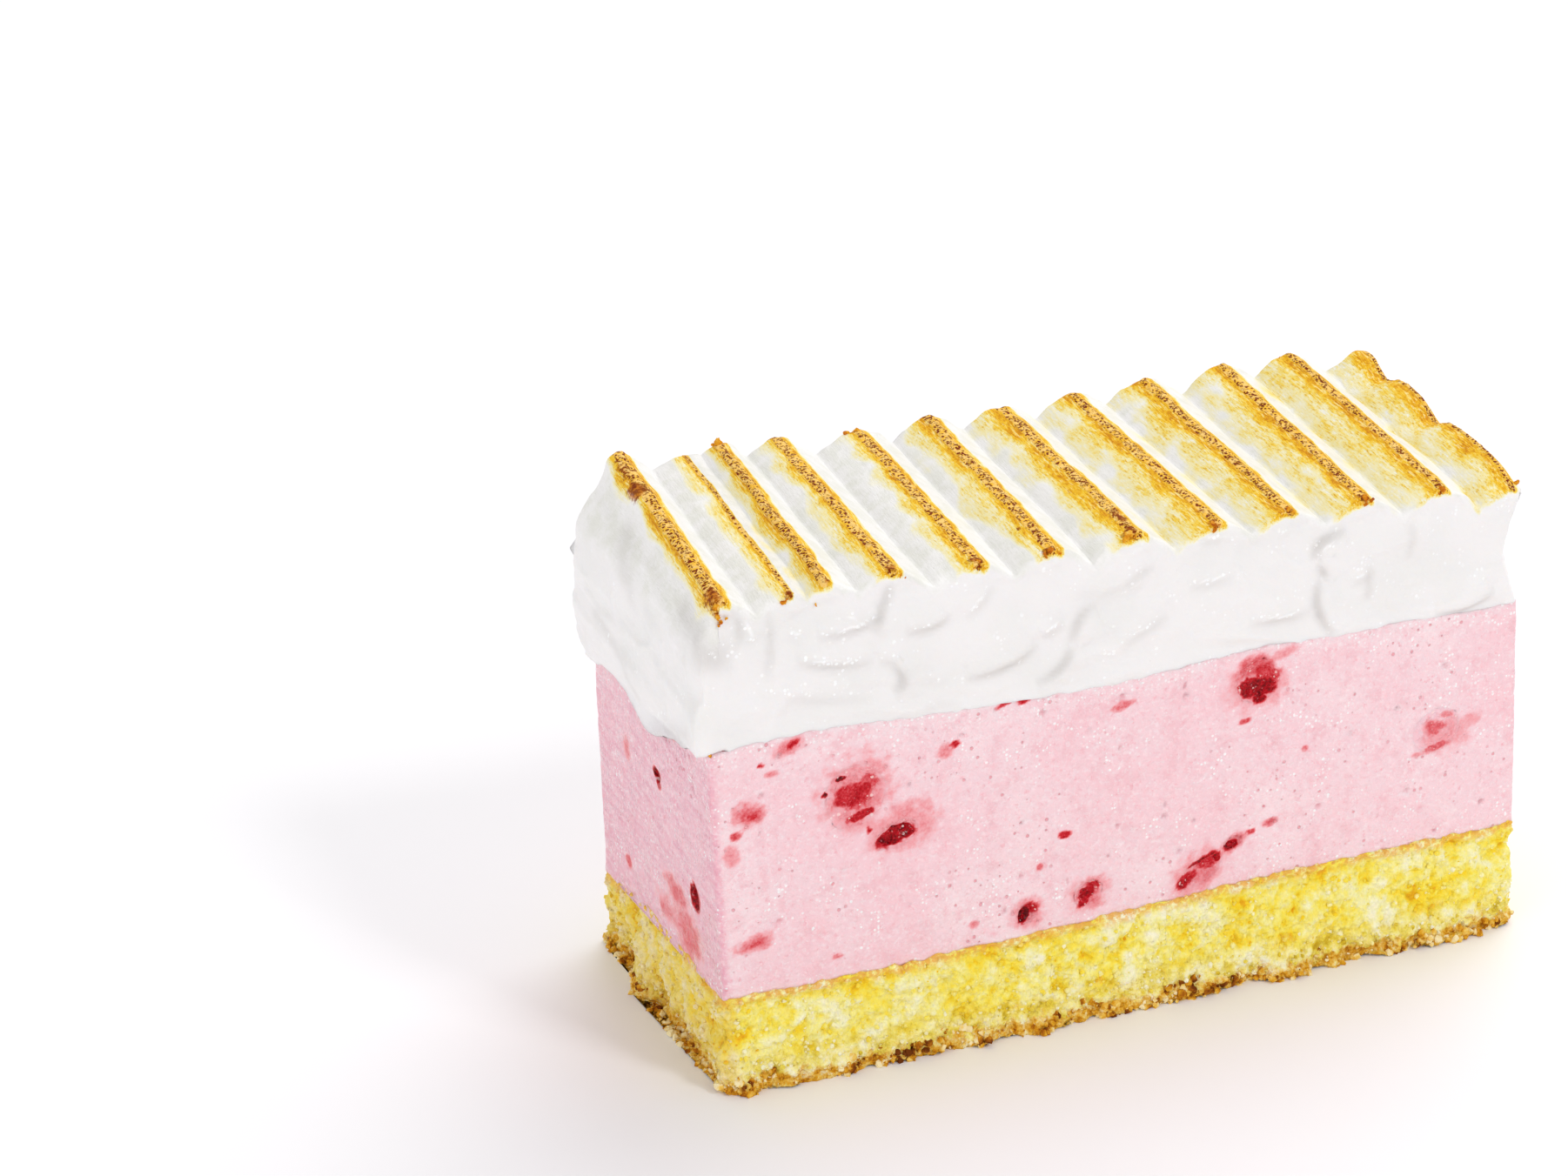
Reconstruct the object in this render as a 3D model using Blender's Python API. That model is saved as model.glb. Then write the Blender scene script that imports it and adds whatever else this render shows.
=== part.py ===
"""A slice of strawberry yogurt cake.

A sponge base carries a block of strawberry yogurt mousse with pieces of fruit in it. A thick layer
of meringue lies on top, combed into ridges and running down over the left end.
X runs along the slice, Y across it and Z up. The origin is on the underside of the sponge.
The cut face that shows the fruit is at -Y. Everything is in metres.
"""

import math

import bmesh
import bpy
from mathutils import Matrix, Vector, noise

MM = 0.001

# Driving dimensions
LENGTH = 101.6 * MM
WIDTH = 37.7 * MM
SPONGE_TOP = 13.2 * MM
MOUSSE_TOP = 43.0 * MM
LEAN = -0.058  # shift along X for each unit of height above the sponge
BACK_LEFT_STANDS = 0.4  # share of the lean that the back left edge hasn't
GAP = 0.3 * MM  # clear space between two touching pieces

# Seam between sponge and mousse: it rises to the right and falls towards the back left
SEAM_RISE = 0.8 * MM
SEAM_RISE_X = 2.0 * MM
SEAM_RISE_REACH = 18.0 * MM
SEAM_FALL = 2.3 * MM
SEAM_WOBBLE = 0.25 * MM
SEAM_WOBBLE_SIZE = Vector((7.0, 7.0, 7.0)) * MM

# Seam between mousse and meringue: a long wave that fades to the right
CREAM_WAVE = 1.2 * MM
CREAM_WAVE_X = -36.0 * MM
CREAM_WAVE_LENGTH = 60.0 * MM
CREAM_WAVE_FADE = 60.0 * MM
CREAM_WOBBLE_SIZE = Vector((9.0, 9.0, 9.0)) * MM

# Sponge: crumbs torn out of its sides, a ragged lower edge and one crag that stands out at the left
SPONGE_GRID = (60, 14, 6)
SPONGE_SPREAD = 1.0 * MM  # how far the sides lean out at the bottom
END_SPREAD_SHARE = -0.5  # the two ends draw in instead
SPONGE_CRAGS = ((4.5 * MM, 0.6 * MM), (2.3 * MM, 0.4 * MM))  # sizes and how far they stand out
SPONGE_CORNER = 3.0 * MM
RAGGED_EDGE = 0.9 * MM
RAGGED_SIZE = Vector((3.0, 3.0, 3.0)) * MM
LEFT_FOOT = (2.0 * MM, 9.0 * MM)  # heights between which the crag and its notch fade out
LEFT_CRAG_Y = 4.6 * MM
LEFT_CRAG_OUT = 1.4 * MM
LEFT_CRAG_WIDTH = 2.8 * MM
LEFT_NOTCH_Y = 11.0 * MM
LEFT_NOTCH_IN = 1.4 * MM
LEFT_NOTCH_WIDTH = 1.6 * MM

# Mousse
MOUSSE_GRID = (34, 8, 8)
MOUSSE_RELIEF = 0.12 * MM
MOUSSE_RELIEF_SIZE = Vector((9.0, 9.0, 9.0)) * MM
MOUSSE_CORNER = 0.4 * MM

# Meringue: each ridge has its X at the front and the back, and its height at the front and the back
RIDGES_MM = (
    (-51.1, -48.3, 62.5, 64.0),
    (-42.6, -40.1, 61.5, 62.1),
    (-38.7, -36.1, 62.5, 63.1),
    (-30.8, -28.8, 62.4, 62.4),
    (-20.3, -18.6, 61.2, 61.7),
    (-11.3, -9.6, 61.2, 61.8),
    (-0.9, -0.4, 61.3, 61.6),
    (9.2, 8.9, 60.7, 61.7),
    (18.3, 18.3, 60.7, 62.0),
    (28.0, 28.9, 60.3, 62.0),
    (38.2, 38.0, 59.8, 62.1),
    (47.8, 48.4, 59.6, 60.9),
)
RIDGE_STEPS = 6  # lattice steps from one crest to the next
VALLEY_SHARE = 0.27  # depth of a valley over the distance between its crests
RIDGE_ROUNDNESS = 1.5
MERINGUE_ROWS = (0.0, 0.021, 0.064, 0.16, 0.3, 0.5, 0.7, 0.84, 0.936, 0.979, 1.0)  # across
MERINGUE_UP = 7
SHOULDER_Z = 51.6 * MM
SHOULDER_X_FRONT = -53.8 * MM
SHOULDER_X_BACK = -54.2 * MM
# Shares of the way from the left shoulder to the first crest, along X and up
LEFT_SHOULDER = ((0.0, 0.0), (0.09, 0.38), (0.345, 0.565), (0.53, 0.67), (0.67, 0.79), (0.78, 0.95))
RIGHT_SHOULDER = ((0.55, 0.35), (1.0, 1.0))
RIGHT_EDGE_X = 49.4 * MM
RIGHT_EDGE_Z = 57.2 * MM
RIGHT_PINCH = 1.5 * MM
SMEAR_RELIEF = 0.4 * MM
SMEAR_SIZE = Vector((11.0, 11.0, 5.0)) * MM
FRONT_CORNER = 2.2 * MM
BACK_CORNER = 1.0 * MM

# Skirt: the meringue runs down over the left end, lowest at the back and in one tongue
SKIRT_THICKNESS = 0.5 * MM
SKIRT_TOP_Z = 46.0 * MM
SKIRT_FRONT_Z = 43.0 * MM
SKIRT_MIDDLE_Z = 40.6 * MM
SKIRT_BACK_Z = 38.6 * MM
TONGUE_Y = -1.5 * MM
TONGUE_LENGTH = 2.2 * MM
TONGUE_WIDTH = 5.0 * MM

# The last ridge breaks into three lobes
LOBE_NOTCHES_Y = (12.6 * MM, 0.2 * MM, -17.6 * MM)
LOBE_NOTCH_DEPTH = 1.5 * MM
LOBE_NOTCH_WIDTH = 2.4 * MM

# Fruit: wall, place along the wall, height, width, tallness and tilt in degrees
FRUIT_MM = (
    ("front", -34.9, 35.2, 8.0, 8.0, 0),
    ("front", -29.9, 29.2, 5.6, 3.2, 18),
    ("front", 15.1, 39.6, 6.0, 5.6, 0),
    ("front", 8.7, 16.1, 6.4, 3.2, 28),
    ("front", 13.0, 19.1, 2.4, 1.4, 12),
    ("front", -5.7, 16.5, 3.6, 3.0, 20),
    ("front", -13.4, 15.4, 2.6, 2.4, 20),
    ("front", 39.2, 28.5, 6.4, 5.6, 20),
    ("end", -11.6, 22.1, 2.4, 3.8, 0),
    ("end", -1.2, 32.5, 1.7, 1.7, 0),
)
LARGE_FRUIT = 5.0 * MM  # pieces wider than this get finer facets
FRUIT_UNEVEN = 0.12
FRUIT_BUMPS = 1.8  # bumps across a piece
FRUIT_SUNK = 0.25  # how far the middle of a piece lies behind the cut, over its width

# Where each kind of unevenness starts in the noise
SEEDS = {
    "sponge_seam": 3.1,
    "cream_seam": 7.7,
    "crags": 5.9,
    "ragged_edge": 11.3,
    "mousse": 1.7,
    "smears": 9.4,
    "fruit": 3.3,
}

COLOURS = {
    "sponge": ((0.93, 0.72, 0.16), 0.9),
    "mousse": ((0.93, 0.50, 0.56), 0.45),
    "meringue": ((0.88, 0.86, 0.83), 0.3),
    "fruit": ((0.42, 0.02, 0.04), 0.25),
}


def clear_scene():
    for obj in list(bpy.data.objects):
        bpy.data.objects.remove(obj, do_unlink=True)


def make_material(name):
    colour, roughness = COLOURS[name]
    material = bpy.data.materials.new(name)
    material.use_nodes = True
    shader = material.node_tree.nodes["Principled BSDF"]
    shader.inputs["Base Color"].default_value = (*colour, 1.0)
    shader.inputs["Roughness"].default_value = roughness
    shader.inputs["Metallic"].default_value = 0.0
    return material


def mix(a, b, t):
    return a + (b - a) * t


def smooth_step(low, high, value):
    t = min(max((value - low) / (high - low), 0.0), 1.0)
    return t * t * (3.0 - 2.0 * t)


def hump(value, middle, width):
    return math.exp(-(((value - middle) / width) ** 2))


def unevenness(point, size, kind):
    """Smooth noise from about -1 to 1 whose features are about size across."""
    scaled = Vector((point[0] / size[0], point[1] / size[1], point[2] / size[2]))
    seed = SEEDS[kind]
    return noise.noise(scaled + Vector((seed, seed * 0.7, -seed)))


def lean(z):
    return LEAN * max(z - SPONGE_TOP, 0.0)


def rounded_plan(x, y, half_x, half_y, radius):
    """A point of a rectangle moved so that the vertical edges are round, and the way out from it."""
    over_x = abs(x) - (half_x - radius)
    over_y = abs(y) - (half_y - radius)
    if over_x <= 0.0 or over_y <= 0.0:
        along_x = half_x - abs(x) < half_y - abs(y)
        return x, y, Vector((math.copysign(1, x), 0) if along_x else (0, math.copysign(1, y)))
    way = Vector((math.copysign(over_x, x), math.copysign(over_y, y))).normalized()
    reach = max(over_x, over_y)
    middle = (math.copysign(half_x - radius, x), math.copysign(half_y - radius, y))
    return middle[0] + way.x * reach, middle[1] + way.y * reach, way


def sponge_seam(x, y):
    """Height where the mousse meets the sponge."""
    rise = SEAM_RISE * math.tanh((x - SEAM_RISE_X) / SEAM_RISE_REACH)
    to_back = smooth_step(WIDTH * 0.08, WIDTH / 2, y)
    to_left = smooth_step(LENGTH * 0.1, -LENGTH / 2, x)
    wobble = SEAM_WOBBLE * unevenness((x, y, 0.0), SEAM_WOBBLE_SIZE, "sponge_seam")
    return SPONGE_TOP + rise - SEAM_FALL * to_back * to_left + wobble


def cream_seam(x, y):
    """Height where the meringue meets the mousse."""
    fade = math.exp(-(x + LENGTH / 2) / CREAM_WAVE_FADE)
    wave = math.cos(2 * math.pi * (x - CREAM_WAVE_X) / CREAM_WAVE_LENGTH)
    wobble = SEAM_WOBBLE * unevenness((x, y, 0.0), CREAM_WOBBLE_SIZE, "cream_seam")
    return MOUSSE_TOP + CREAM_WAVE * fade * wave + wobble


def lattice_object(name, counts, place, material):
    """A closed object from the surface of a box lattice. place(i, j, k) gives each point."""
    nx, ny, nz = counts
    bm = bmesh.new()
    at = {}
    for i in range(nx + 1):
        for j in range(ny + 1):
            for k in range(nz + 1):
                if i in (0, nx) or j in (0, ny) or k in (0, nz):
                    at[i, j, k] = bm.verts.new(place(i, j, k))

    def quad(*keys):
        bm.faces.new([at[key] for key in keys])

    for i in range(nx):
        for j in range(ny):
            quad((i, j, nz), (i + 1, j, nz), (i + 1, j + 1, nz), (i, j + 1, nz))
            quad((i, j, 0), (i, j + 1, 0), (i + 1, j + 1, 0), (i + 1, j, 0))
        for k in range(nz):
            quad((i, 0, k), (i + 1, 0, k), (i + 1, 0, k + 1), (i, 0, k + 1))
            quad((i, ny, k), (i, ny, k + 1), (i + 1, ny, k + 1), (i + 1, ny, k))
    for j in range(ny):
        for k in range(nz):
            quad((0, j, k), (0, j, k + 1), (0, j + 1, k + 1), (0, j + 1, k))
            quad((nx, j, k), (nx, j + 1, k), (nx, j + 1, k + 1), (nx, j, k + 1))
    return object_from_bmesh(name, bm, material)


def object_from_bmesh(name, bm, material):
    mesh = bpy.data.meshes.new(name)
    bm.to_mesh(mesh)
    bm.free()
    mesh.materials.append(material)
    obj = bpy.data.objects.new(name, mesh)
    bpy.context.scene.collection.objects.link(obj)
    return obj


def left_crag(y, z):
    """The crag and the notch beside it, at the foot of the sponge's left end."""
    foot = 1.0 - smooth_step(*LEFT_FOOT, z)
    out = LEFT_CRAG_OUT * hump(y, LEFT_CRAG_Y, LEFT_CRAG_WIDTH)
    notch = LEFT_NOTCH_IN * hump(y, LEFT_NOTCH_Y, LEFT_NOTCH_WIDTH)
    return foot * (out - notch)


def sponge_crag(point):
    return sum(depth * unevenness(point, (size,) * 3, "crags") for size, depth in SPONGE_CRAGS)


def sponge_point(i, j, k):
    nx, ny, nz = SPONGE_GRID
    x = mix(-LENGTH / 2, LENGTH / 2, i / nx)
    y = mix(-WIDTH / 2, WIDTH / 2, j / ny)
    on_wall = i in (0, nx) or j in (0, ny)
    z = (sponge_seam(x, y) - GAP / 2) * k / nz
    corner = mix(SPONGE_CORNER, MOUSSE_CORNER, k / nz)
    x, y, way = rounded_plan(x, y, LENGTH / 2, WIDTH / 2, corner)
    if not on_wall:
        return x, y, z
    if k == 0:
        z = RAGGED_EDGE * max(0.0, unevenness((x, y, 0.0), RAGGED_SIZE, "ragged_edge"))
    out = SPONGE_SPREAD * (1.0 - k / nz) ** 1.5
    if abs(way.x) > 0.9:
        out *= END_SPREAD_SHARE
    if k < nz:
        out += sponge_crag((x, y, z))
    if i == 0:
        x -= left_crag(y, z)
    return x + way.x * out, y + way.y * out, z


def mousse_end_x(t, z):
    """The left end of the mousse at height z, for t from 0 at the front to 1 at the back."""
    return -LENGTH / 2 + lean(z) * (1.0 - BACK_LEFT_STANDS * t)


def mousse_point(i, j, k):
    nx, ny, nz = MOUSSE_GRID
    x = mix(-LENGTH / 2, LENGTH / 2, i / nx)
    y = mix(-WIDTH / 2, WIDTH / 2, j / ny)
    z = mix(sponge_seam(x, y) + GAP / 2, cream_seam(x, y) - GAP / 2, k / nz)
    relief = MOUSSE_RELIEF * unevenness((x, y, z), MOUSSE_RELIEF_SIZE, "mousse")
    leaning = mix(mousse_end_x(j / ny, z) + LENGTH / 2, lean(z), i / nx)
    on_wall = i in (0, nx) or j in (0, ny)
    x, y, way = rounded_plan(x, y, LENGTH / 2, WIDTH / 2, MOUSSE_CORNER)
    if on_wall:
        x += way.x * relief
        y += way.y * relief
    return x + leaning, y, z


def ridge_line(index, t):
    """X and height of a crest at t, which runs from 0 at the front to 1 at the back."""
    x_front, x_back, z_front, z_back = (value * MM for value in RIDGES_MM[index])
    z = mix(z_front, z_back, t)
    if index == len(RIDGES_MM) - 1:
        y = mix(-WIDTH / 2, WIDTH / 2, t)
        notches = max(hump(y, at, LOBE_NOTCH_WIDTH) for at in LOBE_NOTCHES_Y)
        z -= LOBE_NOTCH_DEPTH * notches
    return mix(x_front, x_back, t), z


def combed_point(index, s, t):
    """The meringue's top between crest index and the next one, at s from 0 to 1."""
    x_low, z_low = ridge_line(index, t)
    x_high, z_high = ridge_line(min(index + 1, len(RIDGES_MM) - 1), t)
    depth = VALLEY_SHARE * (x_high - x_low)
    from_crest = 2.0 * min(s, 1.0 - s)
    return mix(x_low, x_high, s), mix(z_low, z_high, s) - depth * from_crest**RIDGE_ROUNDNESS


def shoulder_point(edge, crest, shares):
    return mix(edge[0], crest[0], shares[0]), mix(edge[1], crest[1], shares[1])


def meringue_top(i, t):
    """The top's stations: the left shoulder, the combed ridges and the right shoulder."""
    last = len(RIDGES_MM) - 1
    if i < len(LEFT_SHOULDER):
        edge = (mix(SHOULDER_X_FRONT, SHOULDER_X_BACK, t), SHOULDER_Z)
        return shoulder_point(edge, ridge_line(0, t), LEFT_SHOULDER[i])
    step = i - len(LEFT_SHOULDER)
    if step <= last * RIDGE_STEPS:
        return combed_point(step // RIDGE_STEPS, step % RIDGE_STEPS / RIDGE_STEPS, t)
    shares = RIGHT_SHOULDER[step - last * RIDGE_STEPS - 1]
    return shoulder_point(ridge_line(last, t), (RIGHT_EDGE_X, RIGHT_EDGE_Z), shares)


def skirt_inner_edge(t):
    """The meringue's lower edge on the left end, next to the mousse."""
    z = mix(SKIRT_FRONT_Z, SKIRT_MIDDLE_Z, smooth_step(0.0, 0.4, t))
    z += (SKIRT_BACK_Z - SKIRT_MIDDLE_Z) * smooth_step(0.7, 1.0, t)
    z -= TONGUE_LENGTH * hump(mix(-WIDTH / 2, WIDTH / 2, t), TONGUE_Y, TONGUE_WIDTH)
    return mousse_end_x(t, z) - GAP - MOUSSE_RELIEF, z


def skirt_outer_edge(t):
    x, z = skirt_inner_edge(t)
    return x - SKIRT_THICKNESS, z + SKIRT_THICKNESS


def meringue_underside(i, nx, t):
    """The underside's stations: the skirt's two lower edges, its inner corner, then the seam."""
    if i == 0:
        return skirt_outer_edge(t)
    if i == 1:
        return skirt_inner_edge(t)
    inner_x = mousse_end_x(t, MOUSSE_TOP + MM) - GAP - MOUSSE_RELIEF
    right_x = LENGTH / 2 + lean(MOUSSE_TOP)
    x = mix(inner_x, right_x, (i - 2) / (nx - 2))
    y = mix(-WIDTH / 2, WIDTH / 2, t)
    return x, cream_seam(x - lean(MOUSSE_TOP), y) + GAP / 2


def left_face_x(t, z):
    """The left end's outer face: it swells from the skirt's edge and runs up to the shoulder."""
    foot_x, foot_z = skirt_outer_edge(t)
    edge_x = mix(SHOULDER_X_FRONT, SHOULDER_X_BACK, t)
    return mix(foot_x, edge_x, smooth_step(foot_z - 2.0 * MM, SKIRT_TOP_Z, z))


def corner_inset(t, z):
    """How far the ends draw in near the front and the back, where the upright edges are round."""
    fullness = smooth_step(MOUSSE_TOP, SHOULDER_Z, z)
    radius = fullness * (FRONT_CORNER if t < 0.5 else BACK_CORNER)
    from_face = WIDTH * min(t, 1.0 - t)
    if from_face >= radius:
        return 0.0
    return radius - math.sqrt(radius**2 - (radius - from_face) ** 2)


def meringue_counts():
    stations = len(LEFT_SHOULDER) + (len(RIDGES_MM) - 1) * RIDGE_STEPS + len(RIGHT_SHOULDER)
    return stations, len(MERINGUE_ROWS) - 1, MERINGUE_UP


def meringue_point(i, j, k):
    nx, ny, nz = meringue_counts()
    t = MERINGUE_ROWS[j]
    y = mix(-WIDTH / 2, WIDTH / 2, t)
    low = meringue_underside(i, nx, t)
    high = meringue_top(i, t)
    x = mix(low[0], high[0], k / nz)
    z = mix(low[1], high[1], k / nz)
    inside_wall = 0 < k < nz
    smear = SMEAR_RELIEF * unevenness((x, y, z), SMEAR_SIZE, "smears") if inside_wall else 0.0
    if i == 0 and inside_wall:
        x = left_face_x(t, z) - smear
    if i == nx:
        x += smear - RIGHT_PINCH * math.sin(math.pi * k / nz)
    if k > 0:
        to_crest = min(i / len(LEFT_SHOULDER), 1.0)
        x += corner_inset(t, z) * (1.0 - to_crest)
        if i == nx:
            x -= corner_inset(t, z)
    if j in (0, ny):
        y += math.copysign(smear, y)
    return x, y, z


def fruit_bmesh(number, piece, grow):
    """An uneven ball, wider than it is deep. Its middle lies a little behind the cut."""
    _, _, _, width, tall, tilt = piece
    width *= MM
    tall *= MM
    bm = bmesh.new()
    bmesh.ops.create_icosphere(bm, subdivisions=2 if width > LARGE_FRUIT else 1, radius=1.0)
    turn = Matrix.Rotation(-math.radians(tilt), 3, "Y")
    for vert in bm.verts:
        way = vert.co.normalized()
        start = Vector((number * SEEDS["fruit"], 0.0, 0.0))
        bump = 1.0 + FRUIT_UNEVEN * noise.noise(way * FRUIT_BUMPS + start)
        ball = Vector((way.x * width / 2, way.y * width / 2, way.z * tall / 2)) * bump
        vert.co = turn @ (ball + way * grow) + Vector((0.0, width * FRUIT_SUNK, 0.0))
    return bm


def fruit_place(piece):
    """Turns a piece's own -Y, its cut face, to the front or to the left end."""
    wall, along, height = piece[:3]
    z = height * MM
    if wall == "front":
        return Matrix.Translation((along * MM, -WIDTH / 2, z))
    spot = Matrix.Translation((-LENGTH / 2 + lean(z), along * MM, z))
    return spot @ Matrix.Rotation(-math.pi / 2, 4, "Z")


def make_fruit(number, piece, material):
    bm = fruit_bmesh(number, piece, 0.0)
    everything = bm.verts[:] + bm.edges[:] + bm.faces[:]
    bmesh.ops.bisect_plane(
        bm, geom=everything, plane_co=(0, 0, 0), plane_no=(0, -1, 0), clear_outer=True
    )
    rim = [edge for edge in bm.edges if edge.is_boundary]
    bmesh.ops.contextual_create(bm, geom=rim)
    bmesh.ops.recalc_face_normals(bm, faces=bm.faces[:])
    obj = object_from_bmesh(f"strawberry_piece_{number}", bm, material)
    obj.matrix_world = fruit_place(piece)
    return obj


def cut_fruit_pockets(mousse, material):
    """Each piece sits in a pocket of its own shape, a gap wider all round."""
    pockets = bpy.data.collections.new("fruit_pockets")
    bpy.context.scene.collection.children.link(pockets)
    for number, piece in enumerate(FRUIT_MM, start=1):
        bm = fruit_bmesh(number, piece, GAP)
        pocket = object_from_bmesh(f"pocket_{number}", bm, material)
        pocket.matrix_world = fruit_place(piece)
        pocket.hide_render = True
        pocket.display_type = "WIRE"
        bpy.context.scene.collection.objects.unlink(pocket)
        pockets.objects.link(pocket)
    cut = mousse.modifiers.new("pockets", "BOOLEAN")
    cut.operation = "DIFFERENCE"
    cut.operand_type = "COLLECTION"
    cut.collection = pockets


def main():
    clear_scene()
    materials = {name: make_material(name) for name in COLOURS}
    lattice_object("sponge_base", SPONGE_GRID, sponge_point, materials["sponge"])
    mousse = lattice_object("yogurt_mousse", MOUSSE_GRID, mousse_point, materials["mousse"])
    lattice_object("meringue_top", meringue_counts(), meringue_point, materials["meringue"])
    for number, piece in enumerate(FRUIT_MM, start=1):
        make_fruit(number, piece, materials["fruit"])
    cut_fruit_pockets(mousse, materials["mousse"])


main()
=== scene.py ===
"""Dresses the strawberry yogurt slice: crumb, bubbly mousse, wet fruit and combed, toasted meringue.

Each dressed piece follows the solid that it stands for, from the same sizes, and adds what is too
fine for the solid. Everything is in metres, with X along the slice and the fruit's cut face at -Y.
"""

import math

import bmesh
import bpy
from mathutils import Matrix, Vector, kdtree, noise


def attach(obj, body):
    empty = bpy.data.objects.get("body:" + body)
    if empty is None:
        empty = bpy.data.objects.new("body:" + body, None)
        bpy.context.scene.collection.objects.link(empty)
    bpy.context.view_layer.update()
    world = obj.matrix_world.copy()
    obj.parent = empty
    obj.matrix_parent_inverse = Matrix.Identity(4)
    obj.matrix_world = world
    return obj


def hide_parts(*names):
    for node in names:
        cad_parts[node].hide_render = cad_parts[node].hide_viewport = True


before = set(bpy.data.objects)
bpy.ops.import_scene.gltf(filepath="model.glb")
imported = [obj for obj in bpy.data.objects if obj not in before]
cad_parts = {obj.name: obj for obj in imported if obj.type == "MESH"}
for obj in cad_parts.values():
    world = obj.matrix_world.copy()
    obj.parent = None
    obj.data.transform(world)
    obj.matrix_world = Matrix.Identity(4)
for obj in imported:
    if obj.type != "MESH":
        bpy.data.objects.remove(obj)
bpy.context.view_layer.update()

MM = 0.001

# The slice
LENGTH = 101.6 * MM
WIDTH = 37.7 * MM
SPONGE_TOP = 13.2 * MM
MOUSSE_TOP = 43.0 * MM
LEAN = -0.058
BACK_LEFT_STANDS = 0.4
OVERLAP = 0.5 * MM  # how far the dressed layers run into each other, so that no gap shows
SEAM_TUCK = 0.25 * MM  # how far the meringue's lowest edge dives into the mousse

# Seams
SEAM_RISE = 0.8 * MM
SEAM_RISE_X = 2.0 * MM
SEAM_RISE_REACH = 18.0 * MM
SEAM_FALL = 2.3 * MM
SEAM_WOBBLE = 0.25 * MM
CREAM_WAVE = 1.2 * MM
CREAM_WAVE_X = -36.0 * MM
CREAM_WAVE_LENGTH = 60.0 * MM
CREAM_WAVE_FADE = 60.0 * MM

# Sponge
SPONGE_SPREAD = 1.0 * MM
END_SPREAD_SHARE = -0.5
SPONGE_CRAGS = ((4.5 * MM, 0.6 * MM), (2.3 * MM, 0.4 * MM))
SPONGE_CORNER = 3.0 * MM
FOOT_CRAG_MM = 0.8
SEAM_BULGE_MM = 0.25  # how far the front and the back stand out just under the mousse
# Each at the ends, then at the front and the back: how far the foot's lower edge rises at most, how
# far the edge under the mousse dives in, and how high over the seam it has done so
FOOT_LIFT_MM = (0.3, 1.3)
SEAM_DIVE_MM = (0.7, 1.1)
SEAM_DIVE_END_MM = (0.35, 0.25)
# The foot of the left end: the heights between which its lumps fade out, and how far in they reach
LEFT_FOOT = (2.0 * MM, 8.0 * MM)
LEFT_FOOT_REACH = 10.0 * MM
# Lumps and hollows along the foot of its left end: Y, half the width, how far out
LEFT_CRAGS_MM = (
    (12.8, 2.4, -1.5),
    (5.6, 2.4, 1.8),
    (-2.4, 3.2, -0.4),
    (-9.0, 3.5, -0.3),
)
# Where that foot has browned crust: Y, half the width, how much
LEFT_CRUST_MM = (
    (17.0, 3.0, 0.12),
    (4.0, 2.2, 0.35),
    (-5.0, 4.0, 0.2),
)

# Mousse
MOUSSE_CORNER = 0.5 * MM
MOUSSE_RELIEF = 0.12 * MM
DENT_RIM_MM = 0.35  # how far the fruit's rim lies behind the mousse's face
FACE_REACH = 1.5 * MM  # how far in from a cut face a point still counts as on it

# Meringue: each ridge has its X at the front and the back, and its height at the front and the back
RIDGES_MM = (
    (-51.1, -48.3, 62.5, 64.0),
    (-42.6, -40.1, 61.5, 62.1),
    (-38.7, -36.1, 62.5, 63.1),
    (-30.8, -28.8, 62.4, 62.4),
    (-20.3, -18.6, 61.2, 61.7),
    (-11.3, -9.6, 61.2, 61.8),
    (-0.9, -0.4, 61.3, 61.6),
    (9.2, 8.9, 60.7, 61.7),
    (18.3, 18.3, 60.7, 62.0),
    (28.0, 28.9, 60.3, 62.0),
    (38.2, 38.0, 59.8, 62.1),
    (47.8, 48.4, 59.6, 60.9),
)
# How far each ridge is golden on its left, pale yellow on its left and golden on its right, and half
# the width of its speckled crest
TOAST_MM = (
    (1.5, 2.2, 1.7, 0.8),
    (0.5, 2.3, 0.4, 0.26),
    (1.3, 2.6, 1.3, 0.6),
    (1.3, 3.0, 1.5, 0.68),
    (1.3, 3.2, 1.4, 0.65),
    (1.5, 4.2, 1.5, 0.68),
    (2.0, 4.6, 1.4, 0.66),
    (1.8, 5.8, 1.3, 0.62),
    (1.8, 5.6, 1.3, 0.62),
    (1.8, 5.8, 1.3, 0.66),
    (1.9, 6.2, 1.2, 0.58),
    (2.2, 6.8, 0.9, 0.5),
)
# Darker places: X, Y, half the width, half the length, strength
BURNT_MM = (
    (-49.9, 9.2, 1.2, 2.3, 1.15),
    (-49.3, 14.2, 0.9, 2.8, 0.65),
    (-51.2, -17.4, 0.9, 2.2, 1.0),
    (-42.9, -18.4, 0.7, 0.9, 0.8),
    (-40.4, 17.6, 0.35, 1.6, 0.7),
    (-38.4, -18.6, 0.5, 0.7, 0.8),
    (-36.1, 18.6, 0.7, 0.7, 1.0),
    (-30.5, -18.2, 1.0, 0.8, 0.8),
    (-29.3, 18.4, 0.9, 0.5, 0.7),
    (-20.5, -18.3, 1.0, 0.8, 0.85),
    (-19.4, 18.4, 1.1, 0.5, 0.7),
    (-11.9, -18.4, 0.8, 0.7, 0.75),
    (-12.3, -12.0, 0.4, 0.6, 0.8),
    (-10.5, 18.3, 0.8, 0.4, 0.6),
    (-0.8, -14.2, 0.8, 2.2, 0.8),
    (-1.5, -17.8, 1.2, 1.1, 0.85),
    (8.7, -18.3, 0.7, 0.9, 0.8),
    (8.6, -15.4, 0.6, 0.8, 0.55),
    (18.2, -18.4, 0.7, 0.7, 0.7),
    (28.0, -18.3, 0.8, 0.7, 0.8),
    (38.2, -18.3, 0.6, 0.8, 0.85),
    (46.9, -0.4, 0.8, 2.2, 0.85),
    (47.5, 11.5, 0.5, 2.2, 0.6),
    (47.9, -17.5, 0.5, 2.5, 0.6),
)
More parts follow.
